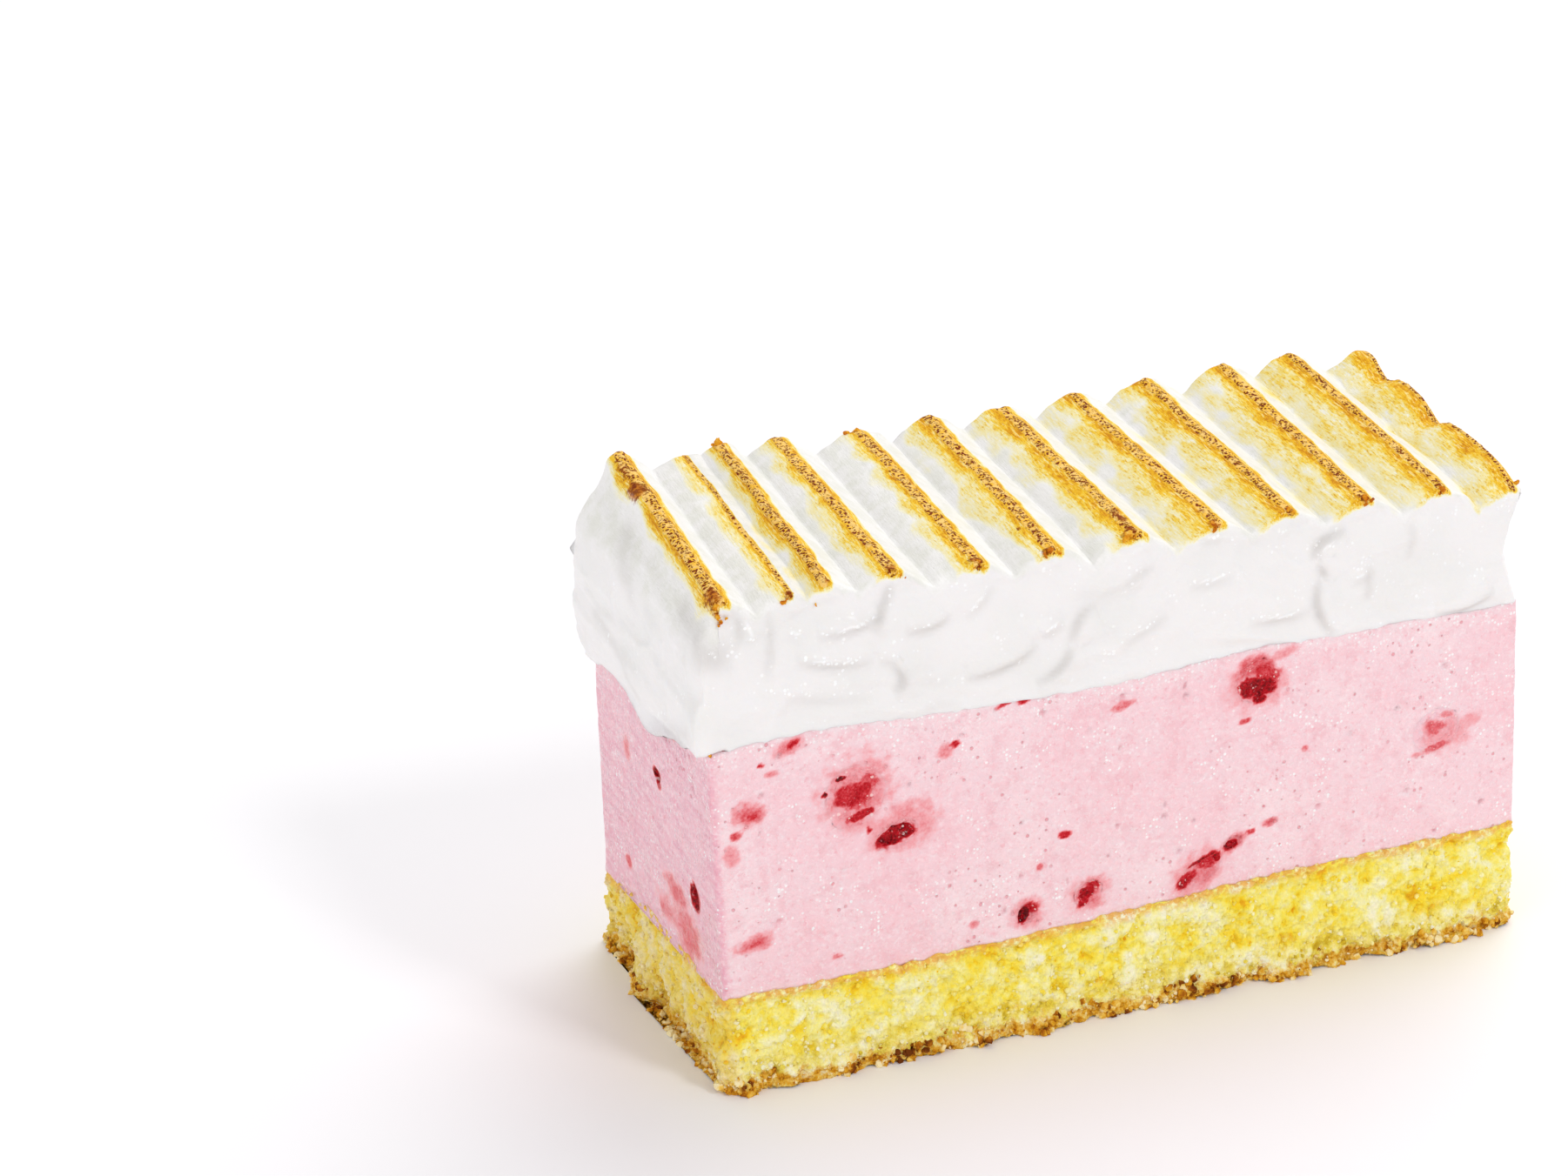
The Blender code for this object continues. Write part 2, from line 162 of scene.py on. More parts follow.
# Toasted flecks at the ridges' ends, and loose ones: X, Y, Z, size
FLECKS_MM = (
    (-51.2, -18.5, 61.8, 0.6),
    (-50.7, -18.7, 61.2, 0.42),
    (-51.3, -18.9, 60.5, 0.4),
    (-51.0, -19.0, 59.9, 0.32),
    (-51.2, -19.0, 59.4, 0.22),
    (-50.3, -18.9, 60.1, 0.2),
    (-43.1, -18.6, 61.0, 0.45),
    (-43.6, -18.8, 60.7, 0.35),
    (-42.5, -18.6, 61.3, 0.3),
    (-38.3, -18.6, 61.5, 0.4),
    (-38.1, -18.8, 61.1, 0.25),
    (-30.4, -18.5, 61.7, 0.5),
    (-29.8, -18.7, 61.4, 0.32),
    (-29.2, -18.8, 61.0, 0.2),
    (-20.4, -18.5, 60.9, 0.5),
    (-20.9, -18.7, 60.8, 0.34),
    (-19.6, -18.8, 60.6, 0.24),
    (-11.5, -18.5, 61.0, 0.42),
    (-12.1, -18.7, 60.7, 0.3),
    (-10.6, -18.8, 60.6, 0.22),
    (-1.8, -18.5, 61.2, 0.5),
    (-2.4, -18.8, 60.8, 0.4),
    (-1.2, -18.8, 60.8, 0.28),
    (8.7, -18.6, 60.6, 0.48),
    (8.6, -18.9, 60.0, 0.36),
    (9.4, -18.8, 60.3, 0.25),
    (18.2, -18.6, 60.6, 0.4),
    (18.8, -18.8, 60.3, 0.24),
    (28.0, -18.6, 60.3, 0.5),
    (27.9, -18.9, 59.7, 0.28),
    (28.8, -18.8, 60.0, 0.3),
    (38.1, -18.6, 59.6, 0.45),
    (37.5, -18.8, 59.3, 0.28),
    (47.9, -18.6, 58.8, 0.3),
    (-39.8, -19.0, 59.9, 0.18),
    (-52.3, -18.9, 43.9, 0.3),
    (-36.1, 18.5, 62.9, 0.6),
    (-35.7, 18.6, 62.6, 0.4),
    (-36.6, 18.6, 62.7, 0.3),
    (-40.2, 18.5, 61.9, 0.25),
    (-29.4, 18.5, 62.1, 0.3),
    (-20.0, 18.5, 61.3, 0.4),
    (-18.8, 18.5, 61.4, 0.4),
    (-10.6, 18.5, 61.3, 0.3),
    (36.8, 18.5, 61.5, 0.3),
)
VALLEY_SHARE = 0.27
RIDGE_ROUNDNESS = 1.5
SHOULDER_Z = 51.6 * MM
SHOULDER_X_FRONT = -53.8 * MM
SHOULDER_X_BACK = -54.2 * MM
LEFT_SHOULDER = ((0.0, 0.0), (0.09, 0.38), (0.345, 0.565), (0.53, 0.67), (0.67, 0.79), (0.78, 0.95))
RIGHT_SHOULDER = ((0.55, 0.35), (1.0, 1.0))
RIGHT_EDGE_X = 49.4 * MM
RIGHT_EDGE_Z = 57.2 * MM
RIGHT_PINCH = 1.5 * MM
FRONT_CORNER = 2.2 * MM
BACK_CORNER = 1.0 * MM
SKIRT_THICKNESS = 0.5 * MM
SKIRT_TOP_Z = 46.0 * MM
SKIRT_FRONT_Z = 43.0 * MM
SKIRT_MIDDLE_Z = 40.6 * MM
SKIRT_BACK_Z = 38.6 * MM
TONGUE_Y = -1.5 * MM
TONGUE_LENGTH = 2.2 * MM
TONGUE_WIDTH = 5.0 * MM
LOBE_NOTCHES_Y = (12.6 * MM, 0.2 * MM, -17.6 * MM)
LOBE_NOTCH_DEPTH = 1.5 * MM
LOBE_NOTCH_WIDTH = 2.4 * MM
SMOOTH_CORNER = (Vector((-60.0, -30.0, 42.3)) * MM, Vector((-50.2, -15.5, 59.8)) * MM)

# Strokes left on the front of the meringue by the palette knife: from, over, to (X and Z), height,
# how strongly a painted glint lies along the edge. The meringue is thicker on the left of the way that a
# stroke runs, and painted shade lies beside the step on its right.
STROKES_MM = (
    ((-42.1, 53.9), (-38.5, 51.9), (-32.7, 51.9), 0.35, 1.0),
    ((-32.3, 51.9), (-31.0, 51.7), (-30.1, 51.2), 0.2, 0.8),
    ((-30.4, 51.2), (-27.9, 48.7), (-30.4, 46.9), 0.5, 0.0),
    ((-39.8, 56.1), (-34.9, 55.7), (-32.0, 57.7), 0.35, 1.0),
    ((-30.3, 60.9), (-31.1, 58.8), (-32.5, 54.6), 0.4, 0.0),
    ((-29.4, 54.9), (-25.5, 54.3), (-24.2, 56.1), 0.35, 0.8),
    ((-22.1, 55.1), (-20.3, 56.2), (-18.7, 58.3), 0.2, 1.0),
    ((-21.9, 47.7), (-16.4, 47.4), (-13.2, 50.2), 0.45, 0.2),
    ((-5.6, 53.0), (-8.4, 52.1), (-8.3, 48.8), 0.4, 0.1),
    ((-8.3, 48.8), (-8.8, 46.1), (-12.9, 44.3), 0.45, 0.0),
    ((-12.6, 51.1), (-11.4, 51.7), (-9.7, 52.4), 0.25, 1.0),
    ((1.4, 56.4), (-0.7, 56.3), (-2.1, 54.6), 0.3, 0.2),
    ((5.7, 53.6), (8.3, 53.7), (11.6, 54.1), 0.2, 1.0),
    ((6.8, 59.0), (8.1, 59.1), (9.7, 59.1), 0.15, 0.9),
    ((-3.1, 47.9), (-0.3, 49.5), (3.6, 50.6), 0.25, 0.8),
    ((13.4, 47.9), (17.5, 46.9), (21.7, 47.8), 0.3, 1.0),
    ((25.9, 56.3), (21.7, 56.2), (22.3, 53.6), 0.5, 0.9),
    ((22.3, 53.6), (23.9, 52.2), (23.5, 50.9), 0.4, 0.1),
    ((23.5, 50.9), (21.4, 47.8), (25.3, 43.7), 0.45, 0.2),
    ((26.5, 50.0), (28.0, 50.6), (29.3, 51.8), 0.2, 0.9),
    ((29.3, 51.8), (29.3, 49.6), (29.4, 47.1), 0.25, 0.5),
    ((37.8, 44.2), (42.7, 43.9), (45.3, 46.1), 0.45, 0.0),
    ((34.2, 56.6), (34.6, 54.1), (34.4, 51.4), 0.2, 0.5),
    ((-49.2, 61.1), (-47.3, 58.2), (-49.0, 55.6), 0.25, 0.6),
    ((-43.2, 49.3), (-37.5, 47.7), (-32.8, 47.5), 0.15, 0.5),
    ((-27.5, 48.4), (-25.4, 48.0), (-23.6, 47.5), 0.1, 0.7),
    ((-27.0, 44.9), (-24.9, 45.3), (-21.7, 44.3), 0.12, 0.4),
    ((-44.9, 60.3), (-44.1, 55.9), (-45.2, 51.4), 0.25, 0.1),
    ((-48.7, 60.5), (-47.8, 58.2), (-46.9, 55.9), 0.05, 0.9),
    ((-43.6, 57.3), (-42.3, 56.4), (-41.0, 56.1), 0.05, 1.0),
    ((-46.7, 50.6), (-43.9, 49.6), (-39.5, 49.2), 0.05, 0.7),
    ((-37.0, 57.5), (-35.6, 57.3), (-34.4, 57.7), 0.05, 0.9),
    ((-52.6, 56.3), (-52.0, 56.0), (-51.5, 55.6), 0.05, 0.9),
)
# Painted shade in streaks down the meringue's left face: from and to (Y and Z), half the width, strength
SHADE_STREAKS_MM = (
    ((-12.0, 58.3), (-17.1, 57.5), 1.6, 0.6),
    ((-17.1, 57.5), (-19.0, 55.2), 1.5, 0.8),
    ((-4.3, 61.7), (-13.9, 60.5), 0.9, 0.45),
    ((7.3, 59.3), (1.2, 54.8), 1.5, 0.45),
    ((11.1, 47.8), (2.4, 45.8), 1.0, 0.45),
    ((2.4, 45.8), (-1.0, 43.0), 0.9, 0.45),
    ((-9.0, 42.4), (-15.6, 45.1), 1.2, 0.5),
)

# Fruit in the mousse's front wall and left end: place along the wall, height, width, tallness,
# tilt in degrees, how deep it lies
FRUIT_MM = {
    "front": (
        (-34.9, 35.2, 8.0, 8.0, 0, 0.2),
        (-29.9, 29.2, 5.6, 3.2, 18, 0.5),
        (15.1, 39.6, 6.0, 5.6, 0, 0.35),
        (8.7, 16.1, 6.4, 3.2, 28, 0.35),
        (13.0, 19.1, 2.4, 1.4, 12, 0.3),
        (-5.7, 16.5, 3.6, 3.0, 20, 0.4),
        (-13.4, 15.4, 2.6, 2.4, 20, 0.6),
        (39.2, 28.5, 6.4, 5.6, 20, 0.1),
    ),
    "end": (
        (-11.6, 22.1, 2.4, 3.8, 0, 0.5),
        (-1.2, 32.5, 1.7, 1.7, 0, 0.7),
    ),
}
# Red in the fruit and the mousse: place along the wall, height, half the width, half the tallness,
# tilt in degrees, softness of its rim, depth of its red. A depth over 1 paints shade in a hole.
RED_MM = {
    "front": (
        # the largest piece: pale, with darker patches, a dark arc below and two holes
        (-34.7, 35.5, 4.1, 4.4, 0, 1.0, 0.4),
        (-35.0, 35.2, 2.6, 1.8, 15, 0.6, 0.8),
        (-33.1, 36.5, 1.5, 1.2, 0, 0.7, 0.62),
        (-34.2, 32.6, 1.8, 0.5, 14, 0.5, 0.86),
        (-36.5, 35.0, 1.0, 1.0, 0, 0.6, 0.72),
        (-36.6, 37.7, 0.65, 0.32, 10, 0.3, 1.15),
        (-38.6, 36.0, 0.42, 0.35, 0, 0.3, 1.15),
        # the dark lens with its wide halo
        (-29.8, 29.1, 2.5, 1.1, 16, 0.2, 1.0),
        (-28.9, 30.3, 4.0, 3.0, 0, 1.0, 0.36),
        (-31.3, 28.4, 1.1, 0.7, 0, 0.6, 0.8),
        (-33.3, 30.5, 0.3, 0.35, 0, 0.4, 0.9),
        # the piece under the meringue, bubbly above and solid below
        (15.1, 38.8, 2.3, 1.4, 0, 0.35, 0.97),
        (16.3, 40.3, 1.7, 1.8, 0, 0.6, 0.7),
        (14.6, 41.4, 2.5, 1.5, 0, 0.9, 0.55),
        (15.5, 37.4, 0.9, 0.6, 0, 0.4, 0.95),
        (15.0, 39.4, 3.9, 3.4, 0, 1.0, 0.33),
        (18.3, 42.6, 2.2, 0.7, 18, 0.8, 0.33),
        # the long piece over the sponge, and the small one beside it
        (7.2, 15.4, 1.6, 0.9, 28, 0.5, 0.78),
        (9.8, 17.2, 1.6, 1.0, 18, 0.5, 0.72),
        (8.9, 17.7, 2.1, 0.35, 26, 0.3, 0.95),
        (10.9, 17.7, 0.5, 0.8, 0, 0.4, 0.95),
        (8.6, 16.1, 3.6, 2.4, 30, 1.0, 0.4),
        (6.6, 14.9, 0.9, 0.6, 0, 0.4, 0.9),
        (12.7, 18.8, 1.1, 0.5, 12, 0.3, 1.0),
        (15.2, 20.1, 0.6, 0.3, 0, 0.5, 0.7),
        (12.9, 19.0, 2.0, 1.0, 20, 1.0, 0.45),
        # the two dark pieces low in the middle
        (-5.7, 16.3, 1.2, 0.8, 32, 0.35, 0.96),
        (-6.2, 15.3, 0.9, 0.45, 20, 0.4, 0.86),
        (-4.9, 17.1, 0.9, 0.7, 0, 0.5, 0.8),
        (-5.6, 16.3, 2.4, 2.0, 30, 1.0, 0.45),
        (-13.6, 15.2, 0.9, 0.75, 32, 0.25, 1.15),
        (-13.0, 15.9, 1.1, 0.9, 0, 0.5, 0.8),
        (-13.3, 15.4, 1.9, 1.8, 0, 1.0, 0.4),
        # the faint piece near the right end
        (39.1, 28.8, 1.5, 1.0, 0, 0.7, 0.5),
        (39.5, 26.3, 1.9, 0.45, 12, 0.6, 0.48),
        (41.0, 27.6, 3.0, 2.2, 0, 1.0, 0.27),
        (40.5, 30.3, 0.9, 0.45, 0, 0.6, 0.4),
        (43.6, 29.0, 1.6, 1.0, 15, 0.9, 0.3),
        (36.8, 25.7, 0.7, 0.35, 0, 0.6, 0.32),
        # juice and scraps elsewhere
        (-47.6, 35.5, 1.7, 1.4, 0, 1.0, 0.55),
        (-47.4, 35.2, 0.8, 0.5, 0, 0.6, 0.68),
        (-49.3, 33.1, 0.6, 0.5, 0, 0.7, 0.6),
        (-49.8, 30.7, 0.9, 1.2, 0, 1.0, 0.35),
        (-46.8, 19.0, 2.1, 1.0, 14, 1.0, 0.5),
        (-46.9, 18.8, 1.0, 0.4, 14, 0.6, 0.62),
        (-43.1, 43.0, 1.7, 1.0, 25, 1.0, 0.45),
        (-42.5, 43.3, 0.85, 0.4, 30, 0.5, 0.8),
        (-46.3, 41.3, 0.4, 0.3, 0, 0.5, 0.75),
        (-45.1, 40.1, 0.8, 0.4, 0, 0.8, 0.45),
        (-22.8, 39.3, 0.6, 0.4, 0, 0.4, 0.8),
        (-24.0, 38.6, 1.0, 0.9, 0, 0.9, 0.38),
        (-8.9, 24.8, 0.85, 0.55, 0, 0.35, 0.8),
        (-11.9, 21.2, 0.4, 0.45, 0, 0.6, 0.5),
        (13.6, 34.8, 0.9, 0.33, 8, 0.5, 0.6),
        (17.7, 20.8, 1.0, 0.45, 10, 0.8, 0.48),
        (-2.2, 39.9, 1.5, 0.55, 15, 0.7, 0.45),
        (-16.6, 43.2, 1.2, 0.4, 22, 0.5, 0.75),
        (-14.4, 43.1, 0.9, 0.45, 10, 0.5, 0.82),
        (21.8, 29.7, 0.45, 0.4, 0, 0.7, 0.45),
        (-20.0, 15.5, 0.6, 0.45, 0, 0.8, 0.4),
        (-36.9, 15.1, 0.7, 0.35, 0, 0.6, 0.5),
    ),
    "end": (
        # the two pieces in the left end
        (-11.6, 22.1, 1.5, 1.9, 0, 0.3, 1.0),
        (-5.2, 19.5, 3.6, 1.5, 0, 1.0, 0.5),
        (-2.5, 15.5, 3.6, 1.7, 0, 1.0, 0.42),
        (-8.5, 15.5, 3.6, 3.2, 0, 1.0, 0.48),
        (-1.2, 32.8, 1.2, 0.8, 0, 0.3, 1.15),
        (-1.6, 31.6, 0.8, 0.6, 0, 0.4, 0.85),
        # juice elsewhere
        (10.3, 15.4, 0.9, 1.0, 0, 0.6, 0.55),
        (8.6, 31.3, 1.0, 1.6, 0, 0.8, 0.42),
        (-7.2, 40.8, 1.0, 0.6, 0, 0.8, 0.42),
    ),
}


def mix(a, b, t):
    return a + (b - a) * t


def smooth_step(low, high, value):
    t = min(max((value - low) / (high - low), 0.0), 1.0)
    return t * t * (3.0 - 2.0 * t)


def hump(value, middle, width):
    return math.exp(-(((value - middle) / width) ** 2))


def wander(x, y, z, size, seed):
    """Smooth noise from about -1 to 1 whose features are about size across, in metres."""
    spot = Vector((x / size[0], y / size[1], z / size[2]))
    return noise.noise(spot + Vector((seed, seed * 0.7, -seed)))


def even_size(size_mm):
    return Vector((size_mm, size_mm, size_mm)) * MM


def lean(z):
    return LEAN * max(z - SPONGE_TOP, 0.0)


def sponge_seam(x, y):
    rise = SEAM_RISE * math.tanh((x - SEAM_RISE_X) / SEAM_RISE_REACH)
    to_back = smooth_step(WIDTH * 0.08, WIDTH / 2, y)
    to_left = smooth_step(LENGTH * 0.1, -LENGTH / 2, x)
    wobble = SEAM_WOBBLE * wander(x, y, 0.0, even_size(7.0), 3.1)
    ragged = 0.3 * MM * wander(x, y, 0.0, even_size(1.6), 15.0)
    return SPONGE_TOP + rise - SEAM_FALL * to_back * to_left + wobble + ragged


def cream_seam(x, y):
    fade = math.exp(-(x + LENGTH / 2) / CREAM_WAVE_FADE)
    wave = math.cos(2 * math.pi * (x - CREAM_WAVE_X) / CREAM_WAVE_LENGTH)
    wobble = SEAM_WOBBLE * wander(x, y, 0.0, even_size(9.0), 7.7)
    ragged = 0.28 * MM * wander(x, y, 0.0, even_size(1.9), 21.0)
    return MOUSSE_TOP + CREAM_WAVE * fade * wave + wobble + ragged


def mousse_end_x(t, z):
    return -LENGTH / 2 + lean(z) * (1.0 - BACK_LEFT_STANDS * t)


def rounded_plan(x, y, half_x, half_y, radius):
    """A point of a rectangle moved so that the vertical edges are round, and the way out from it."""
    over_x = abs(x) - (half_x - radius)
    over_y = abs(y) - (half_y - radius)
    if over_x <= 0.0 or over_y <= 0.0:
        along_x = half_x - abs(x) < half_y - abs(y)
        return x, y, Vector((math.copysign(1, x), 0) if along_x else (0, math.copysign(1, y)))
    way = Vector((math.copysign(over_x, x), math.copysign(over_y, y))).normalized()
    reach = max(over_x, over_y)
    middle = (math.copysign(half_x - radius, x), math.copysign(half_y - radius, y))
    return middle[0] + way.x * reach, middle[1] + way.y * reach, way


def close_at_ends(count, share=0.5):
    """Shares from 0 to 1 that lie closer together towards both ends."""
    steps = [step / count for step in range(count + 1)]
    return [mix(s, 0.5 - 0.5 * math.cos(math.pi * s), share) for s in steps]


def add_object(name, data):
    obj = bpy.data.objects.new(name, data)
    bpy.context.scene.collection.objects.link(obj)
    return obj


def shade_smooth(mesh):
    mesh.polygons.foreach_set("use_smooth", [True] * len(mesh.polygons))


def block_shell(name, counts, place, full_top):
    """A closed block. Its walls are a lattice; its underside, and its top unless full_top, are strips.

    place(i, j, k) gives each point. The strips lie against another layer, so nothing of them shows.
    """
    nx, ny, nz = counts
    index = {}
    points = []
    for i in range(nx + 1):
        for j in range(ny + 1):
            for k in range(nz + 1):
                if i in (0, nx) or j in (0, ny) or (k == nz and full_top):
                    index[i, j, k] = len(points)
                    points.append(place(i, j, k))
    faces = []

    def face(*keys):
        faces.append([index[key] for key in keys])

    for i in range(nx):
        for k in range(nz):
            face((i, 0, k), (i + 1, 0, k), (i + 1, 0, k + 1), (i, 0, k + 1))
            face((i, ny, k), (i, ny, k + 1), (i + 1, ny, k + 1), (i + 1, ny, k))
    for j in range(ny):
        for k in range(nz):
            face((0, j, k), (0, j, k + 1), (0, j + 1, k + 1), (0, j + 1, k))
            face((nx, j, k), (nx, j + 1, k), (nx, j + 1, k + 1), (nx, j, k + 1))
    if full_top:
        for i in range(nx):
            for j in range(ny):
                face((i, j, nz), (i + 1, j, nz), (i + 1, j + 1, nz), (i, j + 1, nz))
    for k in (0,) if full_top else (0, nz):
        for i in range(nx):
            first = [(i, j, k) for j in (range(ny + 1) if i == 0 else (0, ny))]
            last = [(i + 1, j, k) for j in (range(ny + 1) if i == nx - 1 else (0, ny))]
            rim = first + last[::-1]
            face(*(rim if k == 0 else rim[::-1]))
    mesh = bpy.data.meshes.new(name)
    mesh.from_pydata(points, [], faces)
    shade_smooth(mesh)
    return add_object(name, mesh)


def paint(mesh, name, value_at):
    """Stores value_at(point) on every vertex, for the material to read."""
    layer = mesh.attributes.new(name, "FLOAT", "POINT")
    layer.data.foreach_set("value", [value_at(vert.co) for vert in mesh.vertices])


def paint_vector(mesh, name, value_at):
    layer = mesh.attributes.new(name, "FLOAT_VECTOR", "POINT")
    flat = [number for vert in mesh.vertices for number in value_at(vert.co)]
    layer.data.foreach_set("vector", flat)


# Sponge


def left_crag(y, z):
    """How far the foot of the left end stands out, or in where it is below 0."""
    foot = 1.0 - smooth_step(*LEFT_FOOT, z)
    crags = (out * MM * hump(y, middle * MM, width * MM) for middle, width, out in LEFT_CRAGS_MM)
    return foot * sum(crags)


def crusty_share(point):
    """How much browned crust stands out at a place along the foot."""
    if point.x > -48.5 * MM:
        return 1.0
    ends = max(share * hump(point.y, y * MM, width * MM) for y, width, share in LEFT_CRUST_MM)
    return mix(ends, 1.0, smooth_step(-17.0 * MM, -18.6 * MM, point.y))


def sponge_place(counts):
    nx, ny, nz = counts

    def place(i, j, k):
        x = mix(-LENGTH / 2, LENGTH / 2, i / nx)
        y = mix(-WIDTH / 2, WIDTH / 2, j / ny)
        z = (sponge_seam(x, y) + OVERLAP) * k / nz
        corner = mix(SPONGE_CORNER, MOUSSE_CORNER, k / nz)
        x, y, way = rounded_plan(x, y, LENGTH / 2, WIDTH / 2, corner)
        side = 1.0 - smooth_step(0.3, 0.9, abs(way.x))
        if k == 0:
            z = mix(*FOOT_LIFT_MM, side) * MM * max(0.0, 0.1 + wander(x, y, 0.0, even_size(2.6), 11.3))
        out = SPONGE_SPREAD * (1.0 - k / nz) ** 1.5
        if abs(way.x) > 0.9:
            out *= END_SPREAD_SHARE
        fade = smooth_step(0.0, 0.2, 1.0 - k / nz)
        crags = (depth * wander(x, y, z, even_size(size / MM), 5.9) for size, depth in SPONGE_CRAGS)
        out += fade * sum(crags)
        foot = 1.0 - smooth_step(0.5 * MM, 2.6 * MM, z)
        out += foot * FOOT_CRAG_MM * MM * wander(x, y, z, even_size(2.2), 33.0)
        over = z - sponge_seam(x, y)
        ragged = 0.3 * MM * wander(x, y, z, even_size(1.1), 27.0)
        out += side * SEAM_BULGE_MM * MM * smooth_step(-1.4 * MM, -0.4 * MM, over)
        dive = smooth_step(-0.1 * MM, mix(*SEAM_DIVE_END_MM, side) * MM, over + side * ragged)
        out -= mix(*SEAM_DIVE_MM, side) * MM * dive
        x -= left_crag(y, z) * smooth_step(-LENGTH / 2 + LEFT_FOOT_REACH, -LENGTH / 2, x)
        return x + way.x * out, y + way.y * out, z

    return place


# Mousse


def on_wall(wall, point):
    """Place along a wall of the mousse, for points that lie on that wall."""
    if wall == "front":
        return point.x if point.y < -WIDTH / 2 + FACE_REACH else None
    return point.y if point.x < -LENGTH / 2 + lean(point.z) + FACE_REACH else None


def marks_beside(table, point, scale=1.0):
    """Each mark near a point, as the rest of its row after how near the point is to its middle.

    That is 1 in the middle, 0 at the rim and below 0 outside. scale is 2 for a table of half widths.
    """
    for wall, rows in table.items():
        place = on_wall(wall, point)
        if place is None:
            continue
        for along, height, width, tall, tilt, *rest in rows:
            across = place - along * MM
            up = point.z - height * MM
            width, tall = scale * width, scale * tall
            if max(abs(across), abs(up)) > 2.0 * max(width, tall) * MM:
                continue
            turn = math.radians(tilt)
            a = across * math.cos(turn) + up * math.sin(turn)
            b = up * math.cos(turn) - across * math.sin(turn)
            yield (1.0 - math.hypot(a / (width * MM / 2), b / (tall * MM / 2)), *rest)


def dent_depth(point):
    """The hollow that a piece of fruit leaves in the cut face."""
    depth = 0.0
    for near, deep in marks_beside(FRUIT_MM, point):
        bowl = deep * smooth_step(0.0, 0.5, near) + DENT_RIM_MM * smooth_step(0.02, 0.2, near)
        depth = max(depth, bowl * MM)
    return depth


def redness(point):
    """How much red there is at a place: 0 in plain mousse, 1 in dark flesh, a little more in a hole as
    painted shade.
    """
    wide = wander(point.x, point.y, point.z, even_size(1.4), 81.0)
    fine = wander(point.x, point.y, point.z, even_size(0.55), 91.0)
    level = 0.0
    for near, softness, depth in marks_beside(RED_MM, point, 2):
        if near > -1.8:
            near += (0.12 + 0.32 * softness) * wide + (0.1 + 0.22 * softness) * fine
            level = max(level, depth * smooth_step(-1.1 * softness, 0.65 * softness, near) ** 1.4)
    return level


def seam_distance(point):
    """Height of a point under the meringue's lower edge."""
    return cream_seam(point.x - lean(point.z), point.y) - point.z


def mousse_place(counts):
    nx, ny, nz = counts

    def place(i, j, k):
        x = mix(-LENGTH / 2, LENGTH / 2, i / nx)
        y = mix(-WIDTH / 2, WIDTH / 2, j / ny)
        z = mix(sponge_seam(x, y) - 0.1 * MM, cream_seam(x, y) + OVERLAP, k / nz)
        leaning = mix(mousse_end_x(j / ny, z) + LENGTH / 2, lean(z), i / nx)
        relief = MOUSSE_RELIEF * wander(x, y, z, even_size(9.0), 1.7)
        x, y, way = rounded_plan(x, y, LENGTH / 2, WIDTH / 2, MOUSSE_CORNER)
        spot = Vector((x + leaning, y, z))
        out = relief - dent_depth(spot)
        return spot.x + way.x * out, y + way.y * out, z

    return place


# Meringue


def crest_line(index, t):
    """X and height of a crest at t, which runs from 0 at the front to 1 at the back."""
    x_front, x_back, z_front, z_back = (value * MM for value in RIDGES_MM[index])
    y = mix(-WIDTH / 2, WIDTH / 2, t)
    x = mix(x_front, x_back, t) + 0.28 * MM * wander(0.0, y, 0.0, even_size(9.0), 4.0 + 7 * index)
    z = mix(z_front, z_back, t) + 0.2 * MM * wander(0.0, y, 0.0, even_size(6.0), 9.0 + 5 * index)
    if index == len(RIDGES_MM) - 1:
        z -= LOBE_NOTCH_DEPTH * max(hump(y, at, LOBE_NOTCH_WIDTH) for at in LOBE_NOTCHES_Y)
    return x, z


def crest_lines(t):
    return [crest_line(index, t) for index in range(len(RIDGES_MM))]


def combed_point(crests, index, s):
    """The top between crest index and the next one, at s from 0 to 1."""
    x_low, z_low = crests[index]
    x_high, z_high = crests[min(index + 1, len(crests) - 1)]
    depth = VALLEY_SHARE * (x_high - x_low)
    from_crest = 2.0 * min(s, 1.0 - s)
    return mix(x_low, x_high, s), mix(z_low, z_high, s) - depth * from_crest**RIDGE_ROUNDNESS


def smooth_path(points, f):
    """A point on a smooth curve through points, at f from 0 to 1."""
    spans = len(points) - 1
    at = min(int(f * spans), spans - 1)
    u = f * spans - at
    p0, p1, p2, p3 = (points[min(max(at + n, 0), spans)] for n in (-1, 0, 1, 2))
    return tuple(
        0.5 * (2 * b + (c - a) * u + (2 * a - 5 * b + 4 * c - d) * u**2 + (3 * b - a - 3 * c + d) * u**3)
        for a, b, c, d in zip(p0, p1, p2, p3)
    )


def shoulder_points(edge, crest, shares):
    return [(mix(edge[0], crest[0], across), mix(edge[1], crest[1], up)) for across, up in shares]


LEFT_STEPS = 30
RIDGE_STEPS = 32
RIDGE_SPACING_MM = 9.5
RIGHT_STEPS = 10
ACROSS_ROWS = close_at_ends(120)
UP_LEVELS = close_at_ends(38)


def meringue_top(i, t, crests):
    last = len(crests) - 1
    if i < LEFT_STEPS:
        edge = (mix(SHOULDER_X_FRONT, SHOULDER_X_BACK, t), SHOULDER_Z)
        profile = shoulder_points(edge, crests[0], LEFT_SHOULDER + ((1.0, 1.0),))
        return smooth_path(profile, i / LEFT_STEPS)
    step = i - LEFT_STEPS
    if step <= last * RIDGE_STEPS:
        return combed_point(crests, step // RIDGE_STEPS, step % RIDGE_STEPS / RIDGE_STEPS)
    profile = shoulder_points(crests[last], (RIGHT_EDGE_X, RIGHT_EDGE_Z), ((0.0, 0.0),) + RIGHT_SHOULDER)
    return smooth_path(profile, (step - last * RIDGE_STEPS) / RIGHT_STEPS)


